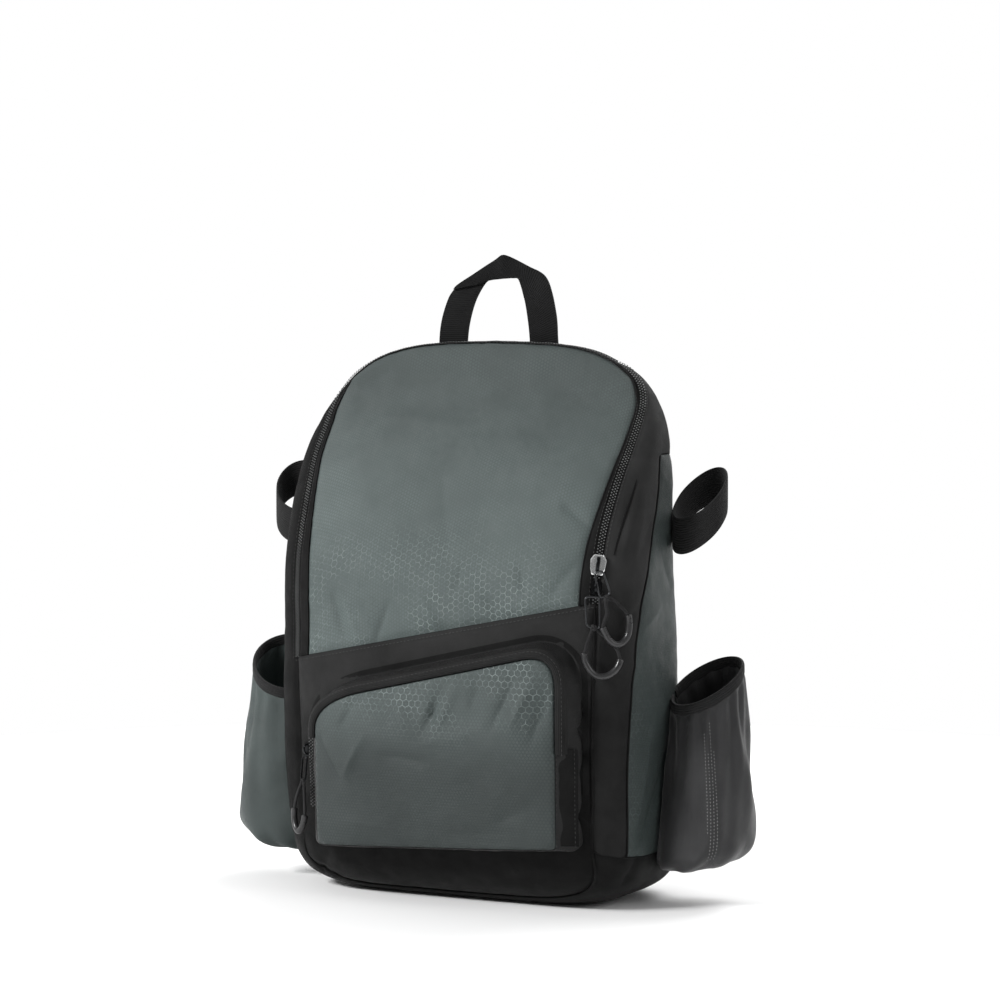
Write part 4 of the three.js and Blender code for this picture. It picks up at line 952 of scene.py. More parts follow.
def gusset():
    clear = 0.01
    zip_end = [station_on_slant(k, beside("zip", 0)) for k in (1, -1)]
    right = np.concatenate(
        [np.linspace(BASE_SEAM, zip_end[0] - clear, 90), np.linspace(zip_end[0], SIDE_PANEL_TOP, 60)]
    )
    left = np.concatenate(
        [np.linspace(BASE_SEAM, zip_end[1] - clear, 90), np.linspace(zip_end[1], SIDE_PANEL_TOP, 60)]
    )
    over = np.linspace(SIDE_PANEL_TOP, 3, 70)[1:]
    stations = np.concatenate([right, over, -over[::-1][1:], -left[::-1]])
    zipped = np.abs(stations) >= np.where(stations > 0, zip_end[0], zip_end[1])
    start = moved_turn(
        stations, seam_turn("zip", stations), np.where(zipped, ZIP_WIDTH / 2, 0) + SEAM / 2
    )
    side = moved_turn(stations, seam_turn("side", stations), -SEAM / 2)
    back = moved_turn(stations, seam_turn("back", stations), -SEAM / 2)
    to_side_share = np.linspace(0, 1, 22)[None]
    to_back_share = np.linspace(0, 1, 34)[None, 1:]
    turn = np.concatenate(
        [
            start[:, None] * (1 - to_side_share) + side[:, None] * to_side_share,
            side[:, None] * (1 - to_back_share) + back[:, None] * to_back_share,
        ],
        1,
    )
    base = body_point(stations[:, None], turn)
    above = np.abs(stations) >= SIDE_PANEL_TOP - 1e-6

    def keep(i, j):
        return (j < 21) | (above[i] & above[i + 1])

    near_front = border_distance(base, "0010")
    to_side = np.abs(np.linalg.norm(base - base[:, 21:22], axis=-1))
    to_back = border_distance(base, "0001")
    seam_side = np.where(above[:, None], to_back, to_side)
    over_side = np.where(above, (np.abs(stations) - SIDE_PANEL_TOP) * 240, 1e3)[:, None]
    over_side = np.where(np.arange(base.shape[1])[None] > 21, over_side, 1e3)
    d = np.minimum(np.minimum(near_front, seam_side), np.maximum(over_side, 0))
    dip = np.where(over_side < np.minimum(near_front, seam_side), 0.5, 1.2)
    amount = lift_of(base) + 1.0 * (1 - np.exp(-d / 14)) - dip * np.exp(-((d / 3) ** 2))
    amount += 0.25 * value_noise(base, 5, 7) * np.exp(-d / 9)
    cloth = base + body_normal(base) * amount[..., None]
    return shell("gusset_cloth", cloth, gusset_black_lit_and_shaded, keep=keep)


def side_panel(side):
    name = "left" if side < 0 else "right"
    stations = side * np.linspace(BASE_SEAM + 0.003, SIDE_PANEL_TOP - 0.004, 150)
    start = moved_turn(stations, seam_turn("side", stations), SEAM / 2)
    end = moved_turn(stations, seam_turn("back", stations), -SEAM / 2)
    share = np.linspace(0, 1, 50)[None]
    base = body_point(stations[:, None], start[:, None] * (1 - share) + end[:, None] * share)
    return shell("side_cloth_" + name, upholster(base, puff=1.0, dip=0.6, seed=11 + side), shaded_grey_side)


def base_panel():
    stations = np.linspace(-BASE_SEAM, BASE_SEAM, 140)
    start = moved_turn(stations, seam_turn("zip", stations), SEAM / 2)
    end = moved_turn(stations, seam_turn("back", stations), -SEAM / 2)
    share = np.linspace(0, 1, 60)[None]
    base = body_point(stations[:, None], start[:, None] * (1 - share) + end[:, None] * share)
    base[..., 2] = np.maximum(base[..., 2], 0)
    return shell("base_cloth", upholster(base, puff=0.4, dip=0.9, seed=15), shade_and_seam_black)


def back_panel():
    edge = beside("back", SEAM / 2)
    count = 130
    upwards = np.linspace(BASE_SEAM, ARCH_CORNER, count)
    right = body_point(upwards, edge(upwards))
    left = right * [-1, 1, 1]
    floor = np.linspace(-BASE_SEAM, BASE_SEAM, 120)
    bottom = body_point(floor, edge(np.abs(floor)))
    over = np.concatenate([-np.linspace(ARCH_CORNER, 3, 60), np.linspace(3, ARCH_CORNER, 60)])
    top = body_point(over, edge(np.abs(over)))
    xz = coons(bottom[:, [0, 2]], right[:, [0, 2]], top[:, [0, 2]], left[:, [0, 2]])
    base = face_point(xz[..., 0], xz[..., 1], 1)
    cloth = upholster(base, puff=2.0, dip=2.0, dip_width=5, seed=17)
    return shell("back_padding", cloth, spacer_mesh, thick=6)


fit(front_panel(), "grey_cloth", "front_panel")
fit(lower_front(), "black_cloth", "lower_front_panel")
fit(zip_strip(), "black_cloth", "zip_strip")
fit(gusset(), "black_cloth", "gusset")
for side in (-1, 1):
    fit(side_panel(side), "grey_cloth", "side_panel_left" if side < 0 else "side_panel_right")
fit(base_panel(), "black_cloth", "base_panel")
back = fit(back_panel(), "black_mesh", "back_panel")


# Zippers, piping and stitches


def seam_path(name, stations, shift=0.0, off=0.0):
    return skin(stations, moved_turn(stations, seam_turn(name, stations), shift), off)


def main_zipper():
    near, far = beside("zip", SEAM / 2 - ZIP_WIDTH / 2), beside("zip", ZIP_WIDTH / 2 - SEAM / 2)
    base = band(near, far, 5)
    return shell("main_zip_tape", skin_of(base, -0.6), zip_tape, thick=0.8)


def zip_teeth(name, path, up, pitch=2.5):
    """A coil's teeth along a path: a middle column and a column on either side, placed in turn."""
    count = int(path_length(path) / (pitch / 2))
    fine = resample(path, count)
    along, across, above = rail_frames(fine, spread_hint(up, count))
    template, faces = bead_template(1.6, 1.15, 1.0, rings=2, sides=5)
    places = []
    for k in range(count):
        for shift in (0.0,) if k % 2 else (-1.85, 1.85):
            origin = fine[k] + across[k] * shift + above[k] * 0.25
            places.append(np.stack([across[k], -along[k], above[k], origin], 1))
    return scatter(name, template, faces, places, coil)


def ring_path(name, shift=0.0, off=0.0, count=400):
    turn_at = beside(name, shift)
    stations = np.concatenate(
        [
            np.linspace(station_on_slant(1, turn_at), 3, count),
            -np.linspace(3, station_on_slant(-1, turn_at), count)[1:],
        ]
    )
    base = body_point(stations, turn_at(np.abs(stations)))
    return skin_of(base, off), body_normal(base)


fit(main_zipper(), "zipper_tape", "main_zipper")
path, up = ring_path("zip", 0.0, -0.1)
fit(zip_teeth("main_zip_teeth", path, up), "zipper_tape")
path, up = ring_path("panel", 0.0, -0.35)
fit(sweep("front_piping", resample(path, 420), round_section(1.4, 8), black_cloth), "black_cloth")
path, up = ring_path("zip", ZIP_WIDTH / 2 + 2.2, 0.35)
fit(stitches("gusset_stitches", path, up, thread), "webbing")
path, up = ring_path("zip", -ZIP_WIDTH / 2 - 1.6, 0.1)
fit(stitches("strip_stitches", path, up, thread), "webbing")


COVER_EDGE = [
    (151.6, -35, 341), (150.6, -42.3, 328), (149.3, -48.7, 317), (147.3, -57, 299),
    (145.4, -63.5, 283),
]


def cover_edge():
    """The sewn edge of the cloth that laps over the zipper's right side, above the pulls."""
    path = smooth_path(np.array(COVER_EDGE, float), 80)
    thin = np.sin(np.linspace(0.08, math.pi - 0.08, 80))[:, None] ** 0.4 * np.ones((1, 2))
    section = band_section(2.0, 1.1, 4, 3)
    up = body_normal(path)
    return sweep("cover_edge", skin_of(path, 1.35), section, shade_and_seam_black, up_hint=up, scale=thin)


fit(cover_edge(), "black_cloth")


def slant_path(shift, off):
    x = np.linspace(-134, 136, 160)
    z = SLANT_HEIGHT + SLANT_RISE * x + shift
    base = face_point(x, z)
    return skin_of(base, off), body_normal(base)


path, up = slant_path(-3.0, 0.55)
fit(stitches("slant_stitches", path, up, thread), "webbing")

# The bag's bound seams, where two panels meet
side_stations = np.linspace(BASE_SEAM, SIDE_PANEL_TOP, 160)
for side, name in ((-1, "left"), (1, "right")):
    path = seam_path("side", side * side_stations, 0, -0.7)
    fit(sweep("side_seam_" + name, path, round_section(1.6, 6), black_cloth), "black_cloth")
    top = station_on_slant(side, beside("zip", 0))
    path = seam_path("zip", np.linspace(side * (BASE_SEAM + 0.02), top, 120), 0, -0.5)
    fit(sweep("front_seam_" + name, path, round_section(1.9, 6), shade_and_seam_black), "black_cloth")
ring = np.concatenate([np.linspace(BASE_SEAM, 3, 240), -np.linspace(3, BASE_SEAM, 240)[1:]])
path = seam_path("back", ring, 0, -0.2)
fit(sweep("back_piping", path, round_section(3.2, 8), black_cloth), "black_cloth")
floor_front = np.linspace(-BASE_SEAM, BASE_SEAM, 200)
path = seam_path("zip", floor_front, 0, -0.2)
path[:, 2] = np.maximum(path[:, 2], 1.2)
fit(sweep("base_front_piping", path, round_section(2.2, 8), black_cloth), "black_cloth")
path = seam_path("back", floor_front, 0, -0.2)
path[:, 2] = np.maximum(path[:, 2], 1.7)
fit(sweep("base_back_piping", path, round_section(3.2, 8), black_cloth), "black_cloth")
for side, name in ((-1, "left"), (1, "right")):
    path = skin(side * BASE_SEAM, np.linspace(-46, 43, 120), -0.5)
    fit(sweep("base_seam_" + name, path, round_section(1.8, 6), black_cloth), "black_cloth")


# The front pocket

POCKET_DEPTH, WALL_SPREAD, WALL_SPREAD_BELOW = 24.0, 13.0, 4.0
POCKET_LEFT, POCKET_RIGHT = -0.319 * BAG_WIDTH, 0.35 * BAG_WIDTH
POCKET_BOTTOM, POCKET_TOP = BAG_HEIGHT * 0.107, BAG_HEIGHT * 0.4045
# how far each corner's bend reaches back along the edge before it and on along the edge after
POCKET_BENDS = ((5.0, 5.0), (4.0, 4.0), (27.0, 26.0), (47.0, 23.0))
POCKET_FOLDS = [
    ((24, -114, 190), (0, -113, 135), 5.0, -2.6),
    ((34, -114, 188), (14, -113, 140), 6.0, 1.8),
    ((11, -114, 180), (9, -113, 143), 4.0, -1.6),
    ((84, -112, 196), (62, -113, 145), 6.0, -2.4),
    ((99, -111, 193), (80, -112, 149), 6.0, 2.4),
    ((-56, -113, 176), (-76, -112, 138), 6.0, -2.0),
    ((-74, -111, 97), (-50, -113, 138), 7.0, 2.4),
    ((-104, -109, 142), (-72, -111, 90), 7.0, -2.2),
    ((-21, -114, 176), (-14, -113, 142), 6.0, 1.6),
    ((51, -114, 194), (44, -113, 160), 5.0, -1.8),
    ((113, -109, 188), (94, -110, 135), 7.0, -2.2),
    ((-8, -113, 131), (46, -113, 141), 9.0, 1.6),
    ((-40, -113, 122), (10, -113, 118), 9.0, -1.6),
    ((100, -104, 92), (60, -108, 70), 12, -1.4),
    ((-85, -106, 66), (-20, -108, 60), 14, 0.6),
    ((10, -108, 60), (90, -106, 66), 14, -0.6),
]


# points of the outline in a corner's bend, and in the edge after it
CORNER_POINTS, EDGE_POINTS = 26, 42
POCKET_MIDDLE = np.array([0, 0, 110.0])


def pocket_outline():
    """The pocket's outline, anticlockwise from the bottom left, with outward directions."""
    rows = [
        (POCKET_LEFT, POCKET_BOTTOM + 0.05 * POCKET_LEFT),
        (POCKET_RIGHT, POCKET_BOTTOM + 0.05 * POCKET_RIGHT),
        (POCKET_RIGHT, POCKET_TOP + 0.225 * POCKET_RIGHT),
        (POCKET_LEFT, POCKET_TOP + 0.225 * POCKET_LEFT),
    ]
    at = np.array(rows)
    places, outs = [], []
    for i in range(4):
        start = at[i] + unit(at[i - 1] - at[i]) * POCKET_BENDS[i][0]
        finish = at[i] + unit(at[(i + 1) % 4] - at[i]) * POCKET_BENDS[i][1]
        for s in np.linspace(0, 1, CORNER_POINTS):
            places.append(start * (1 - s) ** 2 + 2 * at[i] * s * (1 - s) + finish * s**2)
            way = unit((at[i] - start) * (1 - s) + (finish - at[i]) * s)
            outs.append(np.array([way[1], -way[0]]))
    filled, directions = [], []
    for k in range(len(places)):
        filled.append(places[k])
        directions.append(outs[k])
        if k % CORNER_POINTS == CORNER_POINTS - 1:
            following = places[(k + 1) % len(places)]
            for share in np.linspace(0, 1, EDGE_POINTS + 2)[1:-1]:
                filled.append(places[k] * (1 - share) + following * share)
                directions.append(outs[k])
    return np.array(filled), np.array(directions)


outline, outward = pocket_outline()
per_leg = CORNER_POINTS + EDGE_POINTS
wall_spread = WALL_SPREAD + (WALL_SPREAD_BELOW - WALL_SPREAD) * np.maximum(-outward[:, 1], 0) ** 2


def off_front(xz, lift):
    p = face_point(xz[..., 0], xz[..., 1])
    p[..., 1] -= lift
    return p


def pocket_face():
    middle = outline.mean(0)
    share = np.concatenate([np.linspace(0, 0.9, 60), np.linspace(0.91, 1, 14)])[:, None, None]
    xz = middle + (outline[None] - middle) * share
    apart = np.linalg.norm(xz[:, :, None] - outline[None, None, ::3], axis=-1)
    edge = np.maximum((np.sum(np.maximum(apart, 1e-3) ** -5.0, -1)) ** -0.2 * 1.25, 0)
    edge[-1] = 0
    full = 1 - np.exp(-edge / 26)
    belly = np.exp(-(((xz[..., 1] - 138) / 46) ** 2))
    lift = POCKET_DEPTH - 2.4 + full * (1.6 + 8.5 * belly) - 1.6 * np.exp(-((edge / 2.4) ** 2))
    p = off_front(xz, lift)
    height = 1.5 * fold_height(p, POCKET_FOLDS) + 1.0 * cloud(p, 55, 23) + 0.45 * cloud(p, 18, 31)
    height += 0.25 * value_noise(p, 6, 4) * np.exp(-edge / 10)
    p[..., 1] -= height * np.clip(edge / 8, 0, 1)
    hem = p[-1:].copy()
    hem[..., 1] += 3.2
    grid = np.concatenate([p, hem])
    uv = np.stack([grid[..., 0], grid[..., 2]], -1) * MM
    uv[-1] += outward * 0.003
    uv = np.concatenate([uv, uv[:, :1]], 1)
    return shell(
        "pocket_face_cloth", grid, grey_pocket, wrap=True, uv=uv, away=POCKET_MIDDLE, sharp=70
    )


# Glossy folds down the right side of the pocket's wall, as the body's folds
WALL_FOLDS = [
    ((112, -108, 178), (127, -82, 150), 7.0, 2.0),
    ((112, -108, 160), (127, -82, 131), 5.0, -2.2),
    ((112, -107, 139), (127, -82, 113), 7.0, 2.0),
    ((114, -102, 121), (127, -82, 104), 5.0, -1.6),
]


def pocket_wall():
    deep = POCKET_DEPTH - 8
    rows = [(0.0, POCKET_DEPTH - 4.4, 0.6), (0.12, POCKET_DEPTH - 5.4, 0.6), (0.3, deep, 0.5)]
    rows += [
        (0.3 + 0.7 * t**0.8, deep * (1 - t) - 0.8 * t, 0)
        for t in np.linspace(0.1, 1, 14)
    ]
    layers = []
    for spread, lift, extra in rows:
        xz = outline + outward * (wall_spread * spread + extra)[:, None]
        layers.append(off_front(xz, lift))
    grid = np.array(layers)
    loose = np.sin(np.linspace(0, math.pi, len(rows)))[:, None]
    ripple = 1.1 * value_noise(grid * [1, 0.35, 1], 24, 41)
    ripple = ripple + 0.7 * value_noise(grid * [1, 0.6, 1], 9, 43)
    ripple += 1.2 * fold_height(grid, WALL_FOLDS)
    out = np.stack([outward[:, 0], np.zeros(len(outward)), outward[:, 1]], 1)
    grid = grid + out[None] * (loose**0.5 * ripple)[..., None]
    grid[-1] = skin_of(face_point(grid[-1, :, 0], grid[-1, :, 2]), -0.8)
    return shell("pocket_wall_cloth", grid, wall_satin, wrap=True, away=POCKET_MIDDLE)


def outline_run(first_share, last_share):
    """Indices of the outline from a share of the right edge, over the top, to a share of the left."""
    first = int(per_leg + CORNER_POINTS + EDGE_POINTS * first_share)
    last = int(3 * per_leg + CORNER_POINTS + EDGE_POINTS * (1 - last_share))
    return np.arange(first, last + 1)


def pocket_flap():
    """The hem that covers the pocket's zipper, standing beside the face's edge."""
    run = outline_run(0.59, 0.93)
    across = np.linspace(0, 1, 12)
    offset = 0.9 + 7.6 * across
    lift = POCKET_DEPTH - 3.4 + 1.9 * np.sin(math.pi * across) ** 0.7 - 1.6 * across
    offset = np.concatenate([[0.7], offset, [8.3]])
    lift = np.concatenate([[POCKET_DEPTH - 6.5], lift, [POCKET_DEPTH - 9]])
    xz = outline[run][:, None] + outward[run][:, None] * offset[None, :, None]
    p = off_front(xz, np.broadcast_to(lift, xz.shape[:2]))
    p[..., 1] -= 0.35 * cloud(p, 20, 51)
    return shell("pocket_flap_cloth", p, band_cloth, thick=1.2, away=POCKET_MIDDLE, sharp=70), p


def pocket_end_strip():
    """The plain strip that carries on below the hem on the right side."""
    run = np.arange(per_leg + 22, per_leg + CORNER_POINTS + 26)
    across = np.linspace(0, 1, 14)
    offset = np.concatenate([[0.7], 0.8 + 12.4 * across])
    lift = np.concatenate([[POCKET_DEPTH - 8], POCKET_DEPTH - 5.2 - 10.5 * across**1.25])
    xz = outline[run][:, None] + outward[run][:, None] * offset[None, :, None]
    p = off_front(xz, np.broadcast_to(lift, xz.shape[:2]))
    p[..., 0] += 0.25 * value_noise(p, 16, 53)
    p[..., 1] -= 0.5 * cloud(p, 14, 55)
    inside = np.array([60, 0, 90.0])
    return shell("pocket_end_strip", p, black_cloth, thick=1.2, away=inside, sharp=70), p


def pocket_zipper():
    run = outline_run(0.3, 0.25)
    offset = WALL_SPREAD + SEAM + np.linspace(0, 4.5, 5)
    xz = outline[run][:, None] + outward[run][:, None] * offset[None, :, None]
    base = face_point(xz[..., 0], xz[..., 1])
    tape = shell("pocket_zip_tape", skin_of(base, 1.0), black_cloth, thick=0.8)
    middle = base[:, 2]
    return tape, skin_of(middle, 1.3), body_normal(middle)


fit(pocket_face(), "grey_cloth", "pocket_face")
fit(pocket_wall(), "black_cloth", "pocket_wall")
flap, flap_grid = pocket_flap()
fit(flap, "black_cloth")
tape, path, up = pocket_zipper()
fit(tape, "zipper_tape", "pocket_zipper")
left_run = slice(int(len(path) * 0.8), None)
fit(zip_teeth("pocket_zip_teeth", path[left_run], up[left_run]), "zipper_tape")
strip, strip_grid = pocket_end_strip()
fit(strip, "black_cloth")
for k in (1, 12):
    path = strip_grid[:, k] + [0.2, -0.3, 0]
    fit(stitches("end_strip_stitches_%d" % k, path, steady([0.6, -0.8, 0.0], path), thread), "webbing")
path = flap_grid[:, 9] + [0, -0.1, 0]
fit(stitches("pocket_flap_stitches", path, steady([0.0, -1.0, 0.0], path), thread), "webbing")


# Bat sleeves and loops

# Radius and shift of the mouth, place along the depth, how much slimmer it hangs, and the
# floor's height with its rise outwards and backwards
SLEEVE_SIDES = {
    -1: {"name": "left", "radius": 31.0, "back": 10.0, "shift": 0.0, "floor": (31.0, 10.0, 9.0), "slim": 0.0},
    1: {"name": "right", "radius": 28.5, "back": 20.0, "shift": 4.0, "floor": (30.0, 7.0, 3.0), "slim": 4.0},
}
SLEEVE_CLOTH = {-1: (grey_sleeve, "grey_cloth"), 1: (stretch_cloth, "stretch_cloth")}
SLEEVE_MOUTH, SLEEVE_FLOOR, SLEEVE_SET = BAG_HEIGHT * 0.382, 30.0, 0.5
SLEEVE_BOTTOM_X, SLEEVE_BOTTOM_Y, SLEEVE_ROUND = 43.0, 48.0, 17.0
swell_at = table_curve(
    np.array([0, 0.25, 0.55, 0.82, 0.95, 1.0]), np.array([0, 0.3, 0.7, 1.0, 0.97, 0.8])
)


def sleeve_point(side, angle, drop, shrink=1.0, out=0.0, lift=0.0):
    row = SLEEVE_SIDES[side]
    swell = swell_at(drop)
    above_floor = (1 - drop) * (SLEEVE_MOUTH - SLEEVE_FLOOR)
    dent = np.clip(SLEEVE_ROUND - above_floor, 0, SLEEVE_ROUND)
    inset = SLEEVE_ROUND - np.sqrt(SLEEVE_ROUND**2 - dent**2)
    narrow = inset + row["slim"] * (0.4 + 0.6 * swell)
    rx = (row["radius"] + 2) * (1 - swell) + SLEEVE_BOTTOM_X * swell - narrow
    ry = (row["radius"] + 2) * (1 - swell) + SLEEVE_BOTTOM_Y * swell - narrow
    dx = np.cos(angle) * (rx * shrink + out)
    dy = np.sin(angle) * (ry * shrink + out)
    mouth = SLEEVE_MOUTH + 0.3 * dx + 0.55 * dy + lift
    base, rise_out, rise_back = row["floor"]
    floor = base + rise_out * dx / SLEEVE_BOTTOM_X + rise_back * dy / SLEEVE_BOTTOM_Y
    z = mouth * (1 - drop) + floor * drop
    x = side * (HALF_WIDTH + row["radius"] - SLEEVE_SET + dx)
    return np.stack([x, row["back"] + row["shift"] * (1 - drop) + dy, z], -1)


def meeting_angle(side, way, drop, shrink):
    """The angle at which a level of the sleeve meets the body, from its outermost point."""
    low, high = 0.3, math.pi
    for _ in range(30):
        a = (low + high) / 2
        p = sleeve_point(side, way * a, drop, shrink)
        if fullness(*p) > 1.0:
            low = a
        else:
            high = a
    return low


def bat_sleeve(side):
    row = SLEEVE_SIDES[side]
    levels = [(t, 1.0) for t in np.linspace(0, 1, 80)] + [(1.0, k) for k in np.linspace(0.97, 0.05, 16)]
    share = np.linspace(-1, 1, 150)
    rows = []
    for drop, shrink in levels:
        ends = [meeting_angle(side, way, drop, shrink) for way in (-1, 1)]
        angle = np.where(share < 0, -np.abs(share) * ends[0], np.abs(share) * ends[1])
        rows.append(sleeve_point(side, angle, drop, shrink))
    grid = np.array(rows)
    drop = np.array([d for d, _ in levels])[:, None]
    floor = np.array([s for _, s in levels])[:, None]
    slack = 1.0 if side > 0 else 0.55
    gather = np.exp(-drop * 2.4) * np.clip(drop / 0.05, 0, 1) * slack
    wander = 4 * value_noise(grid * [1, 1, 0.25], 34, 61)
    ripple = 1.5 * np.sin(share * 38 + wander + 3 * drop) * gather
    fullest = np.sin(math.pi * np.clip(drop, 0, 1)) ** 1.5
    ripple += 2.2 * slack * np.sin(share * 13 - 7 * drop + wander) * fullest
    sag = 1.6 * np.sin(math.pi * np.clip(drop * 1.1, 0, 1)) * cloud(grid * [1, 1, 0.6], 34, 67 + side)
    tucks = np.sin(share * 21 + 2 * value_noise(grid, 40, 3))
    tucks = 1.3 * np.exp(-(((drop - 0.93) / 0.07) ** 2)) * tucks
    hold = np.clip((1 - np.abs(share)) * 14, 0, 1)
    normal = grid_normals(grid, False)
    middle = np.array([side * (HALF_WIDTH + row["radius"]), row["back"], 100.0])
    if np.sum(normal * (grid - middle)) < 0:
        normal = -normal
    grid = grid + normal * ((ripple + sag + tucks * np.minimum(floor, 1)) * hold)[..., None]
    cloth, slot = SLEEVE_CLOTH[side]
    piece = shell("bat_sleeve_" + row["name"], grid, cloth, away=middle)
    return fit(piece, slot, "bat_pocket_" + row["name"]), grid


def sleeve_binding(side):
    row = SLEEVE_SIDES[side]
    ends = [meeting_angle(side, way, 0.0, 1.0) for way in (-1, 1)]
    share = np.linspace(-1, 1, 220)
    angle = np.where(share < 0, -np.abs(share) * ends[0], np.abs(share) * ends[1])
    path = sleeve_point(side, angle, 0.0, 1.0, out=-0.6, lift=2.4)
    section = band_section(3.0, 9.0, per_side=6, power=3)
    pulse = 1 + 0.05 * np.sin(share * 130)
    return sweep(
        "sleeve_binding_" + row["name"], path, section, elastic,
        up_hint=steady([0.0, 0.0, 1.0], path), scale=np.stack([pulse, np.ones_like(pulse)], 1),
    )


LOOP_RADIUS, LOOP_THICK, LOOP_WIDTH, LOOP_HEIGHT = 20.5, 1.8, 29.0, BAG_HEIGHT * 0.7
LOOP_BACK, LOOP_SET = {-1: 10.0, 1: 27.0}, 1.5


def bat_loop(side):
    radius = LOOP_RADIUS + LOOP_THICK / 2
    angle = np.linspace(0, 2 * math.pi, 180, endpoint=False)
    dx, dy = np.cos(angle) * radius, np.sin(angle) * radius
    z = LOOP_HEIGHT + 0.37 * dx + 0.85 * dy
    path = np.stack([side * (HALF_WIDTH + radius - LOOP_SET + dx), LOOP_BACK[side] + dy, z], -1)
    sag = 0.5 * value_noise(path, 14, 71)
    path = path + np.stack([side * np.cos(angle) * sag, np.sin(angle) * sag, np.zeros_like(sag)], -1)
    name = SLEEVE_SIDES[side]["name"]
    section = band_section(LOOP_THICK, LOOP_WIDTH, per_side=10, power=6)
    return loop_band("bat_loop_" + name, path, angle, side, section)


def loop_band(name, path, angle, side, section):
    """An upright band round a ring: its width stays vertical however the ring slopes."""
    out = np.stack([side * np.cos(angle), np.sin(angle), np.zeros_like(angle)], -1)
    thick, wide = section[None, :, :1], section[None, :, 1:]
    grid = path[:, None] + thick * out[:, None] + wide * np.array([0, 0, 1.0])
    grid = np.swapaxes(grid, 0, 1)
    n, m = grid.shape[:2]
    girth = np.concatenate([[0], np.cumsum(np.linalg.norm(np.diff(section, axis=0), axis=-1)), [0]])
    girth[-1] = girth[-2] + np.linalg.norm(section[-1] - section[0])
    run = np.linspace(0, path_length(np.concatenate([path, path[:1]])), m + 1)
    uv = np.stack(np.broadcast_arrays(girth[:, None], run[None]), -1) * MM
    i, j = (a.ravel() for a in np.meshgrid(np.arange(n), np.arange(m), indexing="ij"))
    corners = [(i, j), (i, j + 1), (i + 1, j + 1), (i + 1, j)]
    faces = np.stack([(p % n) * m + q % m for p, q in corners], 1)
    place = np.stack([uv[p, q] for p, q in corners], 1)
    a, b, c = (grid.reshape(-1, 3)[faces[:, k]] for k in (0, 1, 2))
    centre = path[j % m]
    if np.sum(np.cross(b - a, c - a) * (a - centre)) < 0:
        faces, place = faces[:, ::-1], place[:, ::-1]
    return new_object(name, grid.reshape(-1, 3), faces.tolist(), place, elastic, 60)


for side in (-1, 1):
    row = SLEEVE_SIDES[side]
    piece, grid = bat_sleeve(side)
    if side > 0:
        for column, first, last in ((41, 12, 60), (43, 22, 74), (45, 8, 74), (47, 22, 74)):
            line = grid[first:last, column]
            middle = np.array([HALF_WIDTH + row["radius"], row["back"], 0])
            out = unit(line - middle * [1, 1, 0] - line * [0, 0, 1])
            name = "sleeve_stitches_%d" % column
            fit(stitches(name, line + 0.3 * out, out, pale_thread, 2.6, 1.5, 0.6), "webbing")
    fit(sleeve_binding(side), "elastic", "bat_pocket_binding_" + row["name"])
    fit(bat_loop(side), "elastic", "bat_strap_" + row["name"])


# The carry handle

WEB_WIDTH, WEB_THICK = 26.0, 2.2
HANDLE_Y = float(body_point(3.0, seam_turn("back", 3.0))[1])


def handle_half(name, outer, inner, y, bulge):
    """Webbing between an outer and an inner edge, drawn in the front view."""
    count = 90
    a = smooth_path(np.array([(x, 0, z) for x, z in outer]), count)
    b = smooth_path(np.array([(x, 0, z) for x, z in inner]), count)
    share = np.linspace(0, 1, 15)[None, :, None]
    grid = a[:, None] * (1 - share) + b[:, None] * share
    grid[..., 1] = y + bulge(grid)
    crown = 0.35 * np.sin(math.pi * share[..., 0]) ** 0.5
    grid[..., 1] -= crown
    width = np.linspace(0, WEB_WIDTH, 15)[None] * MM
    run = run_of((a + b) / 2)[:, None] * MM
    uv = np.stack(np.broadcast_arrays(width, run), -1)
    return shell(name, grid, webbing, thick=WEB_THICK, away=np.array([0, 500.0, 480]), uv=uv)


def handle():
    """One webbing that rises from the right, folds to a peak and laps over its own left leg."""
    top = BAG_HEIGHT
    lap_outer = [(-41, top + 43.5), (-36.5, top + 47.5), (-14, top + 60.5), (0, top + 68.5), (6, top + 71.6)]
    lap_outer += [(12, top + 70.4), (28, top + 62.5), (43, top + 54), (50, top + 38), (54, top + 14), (55, top - 9)]
    lap_inner = [(-13, top + 48.5), (-10, top + 49.8), (-4, top + 51), (2, top + 51.6), (7, top + 52)]
    lap_inner += [(11, top + 52.2), (15, top + 52.3), (20, top + 51), (24.5, top + 34), (28, top + 14), (30, top - 9)]
    leg_outer = [(-55, top - 9), (-53.5, top + 14), (-46.5, top + 36), (-39.5, top + 45), (-31, top + 50)]
    leg_inner = [(-29, top - 9), (-27.5, top + 12), (-22, top + 32), (-13, top + 47), (-5, top + 53)]
    y = HANDLE_Y - WEB_THICK / 2

    def lap(g):
        raised = np.clip((g[..., 2] - top - 34) / 12, 0, 1) * np.clip((34 - g[..., 0]) / 22, 0, 1)
        peak = np.exp(-(((g[..., 0] - 6) / 5.0) ** 2)) * np.clip((g[..., 2] - top - 54) / 14, 0, 1)
        return 0.4 - (WEB_THICK + 0.5) * raised - 1.6 * peak + 0.4 * value_noise(g, 12, 91)

    def slack(g):
        return 0.4 + 0.4 * value_noise(g, 14, 93)

    leg = handle_half("handle_web_left", leg_outer, leg_inner, y, slack)
    return handle_half("handle_web_right", lap_outer, lap_inner, y, lap), leg


right_half, left_half = handle()
fit(right_half, "webbing", "carry_handle")
fit(left_half, "webbing")


# Shoulder straps

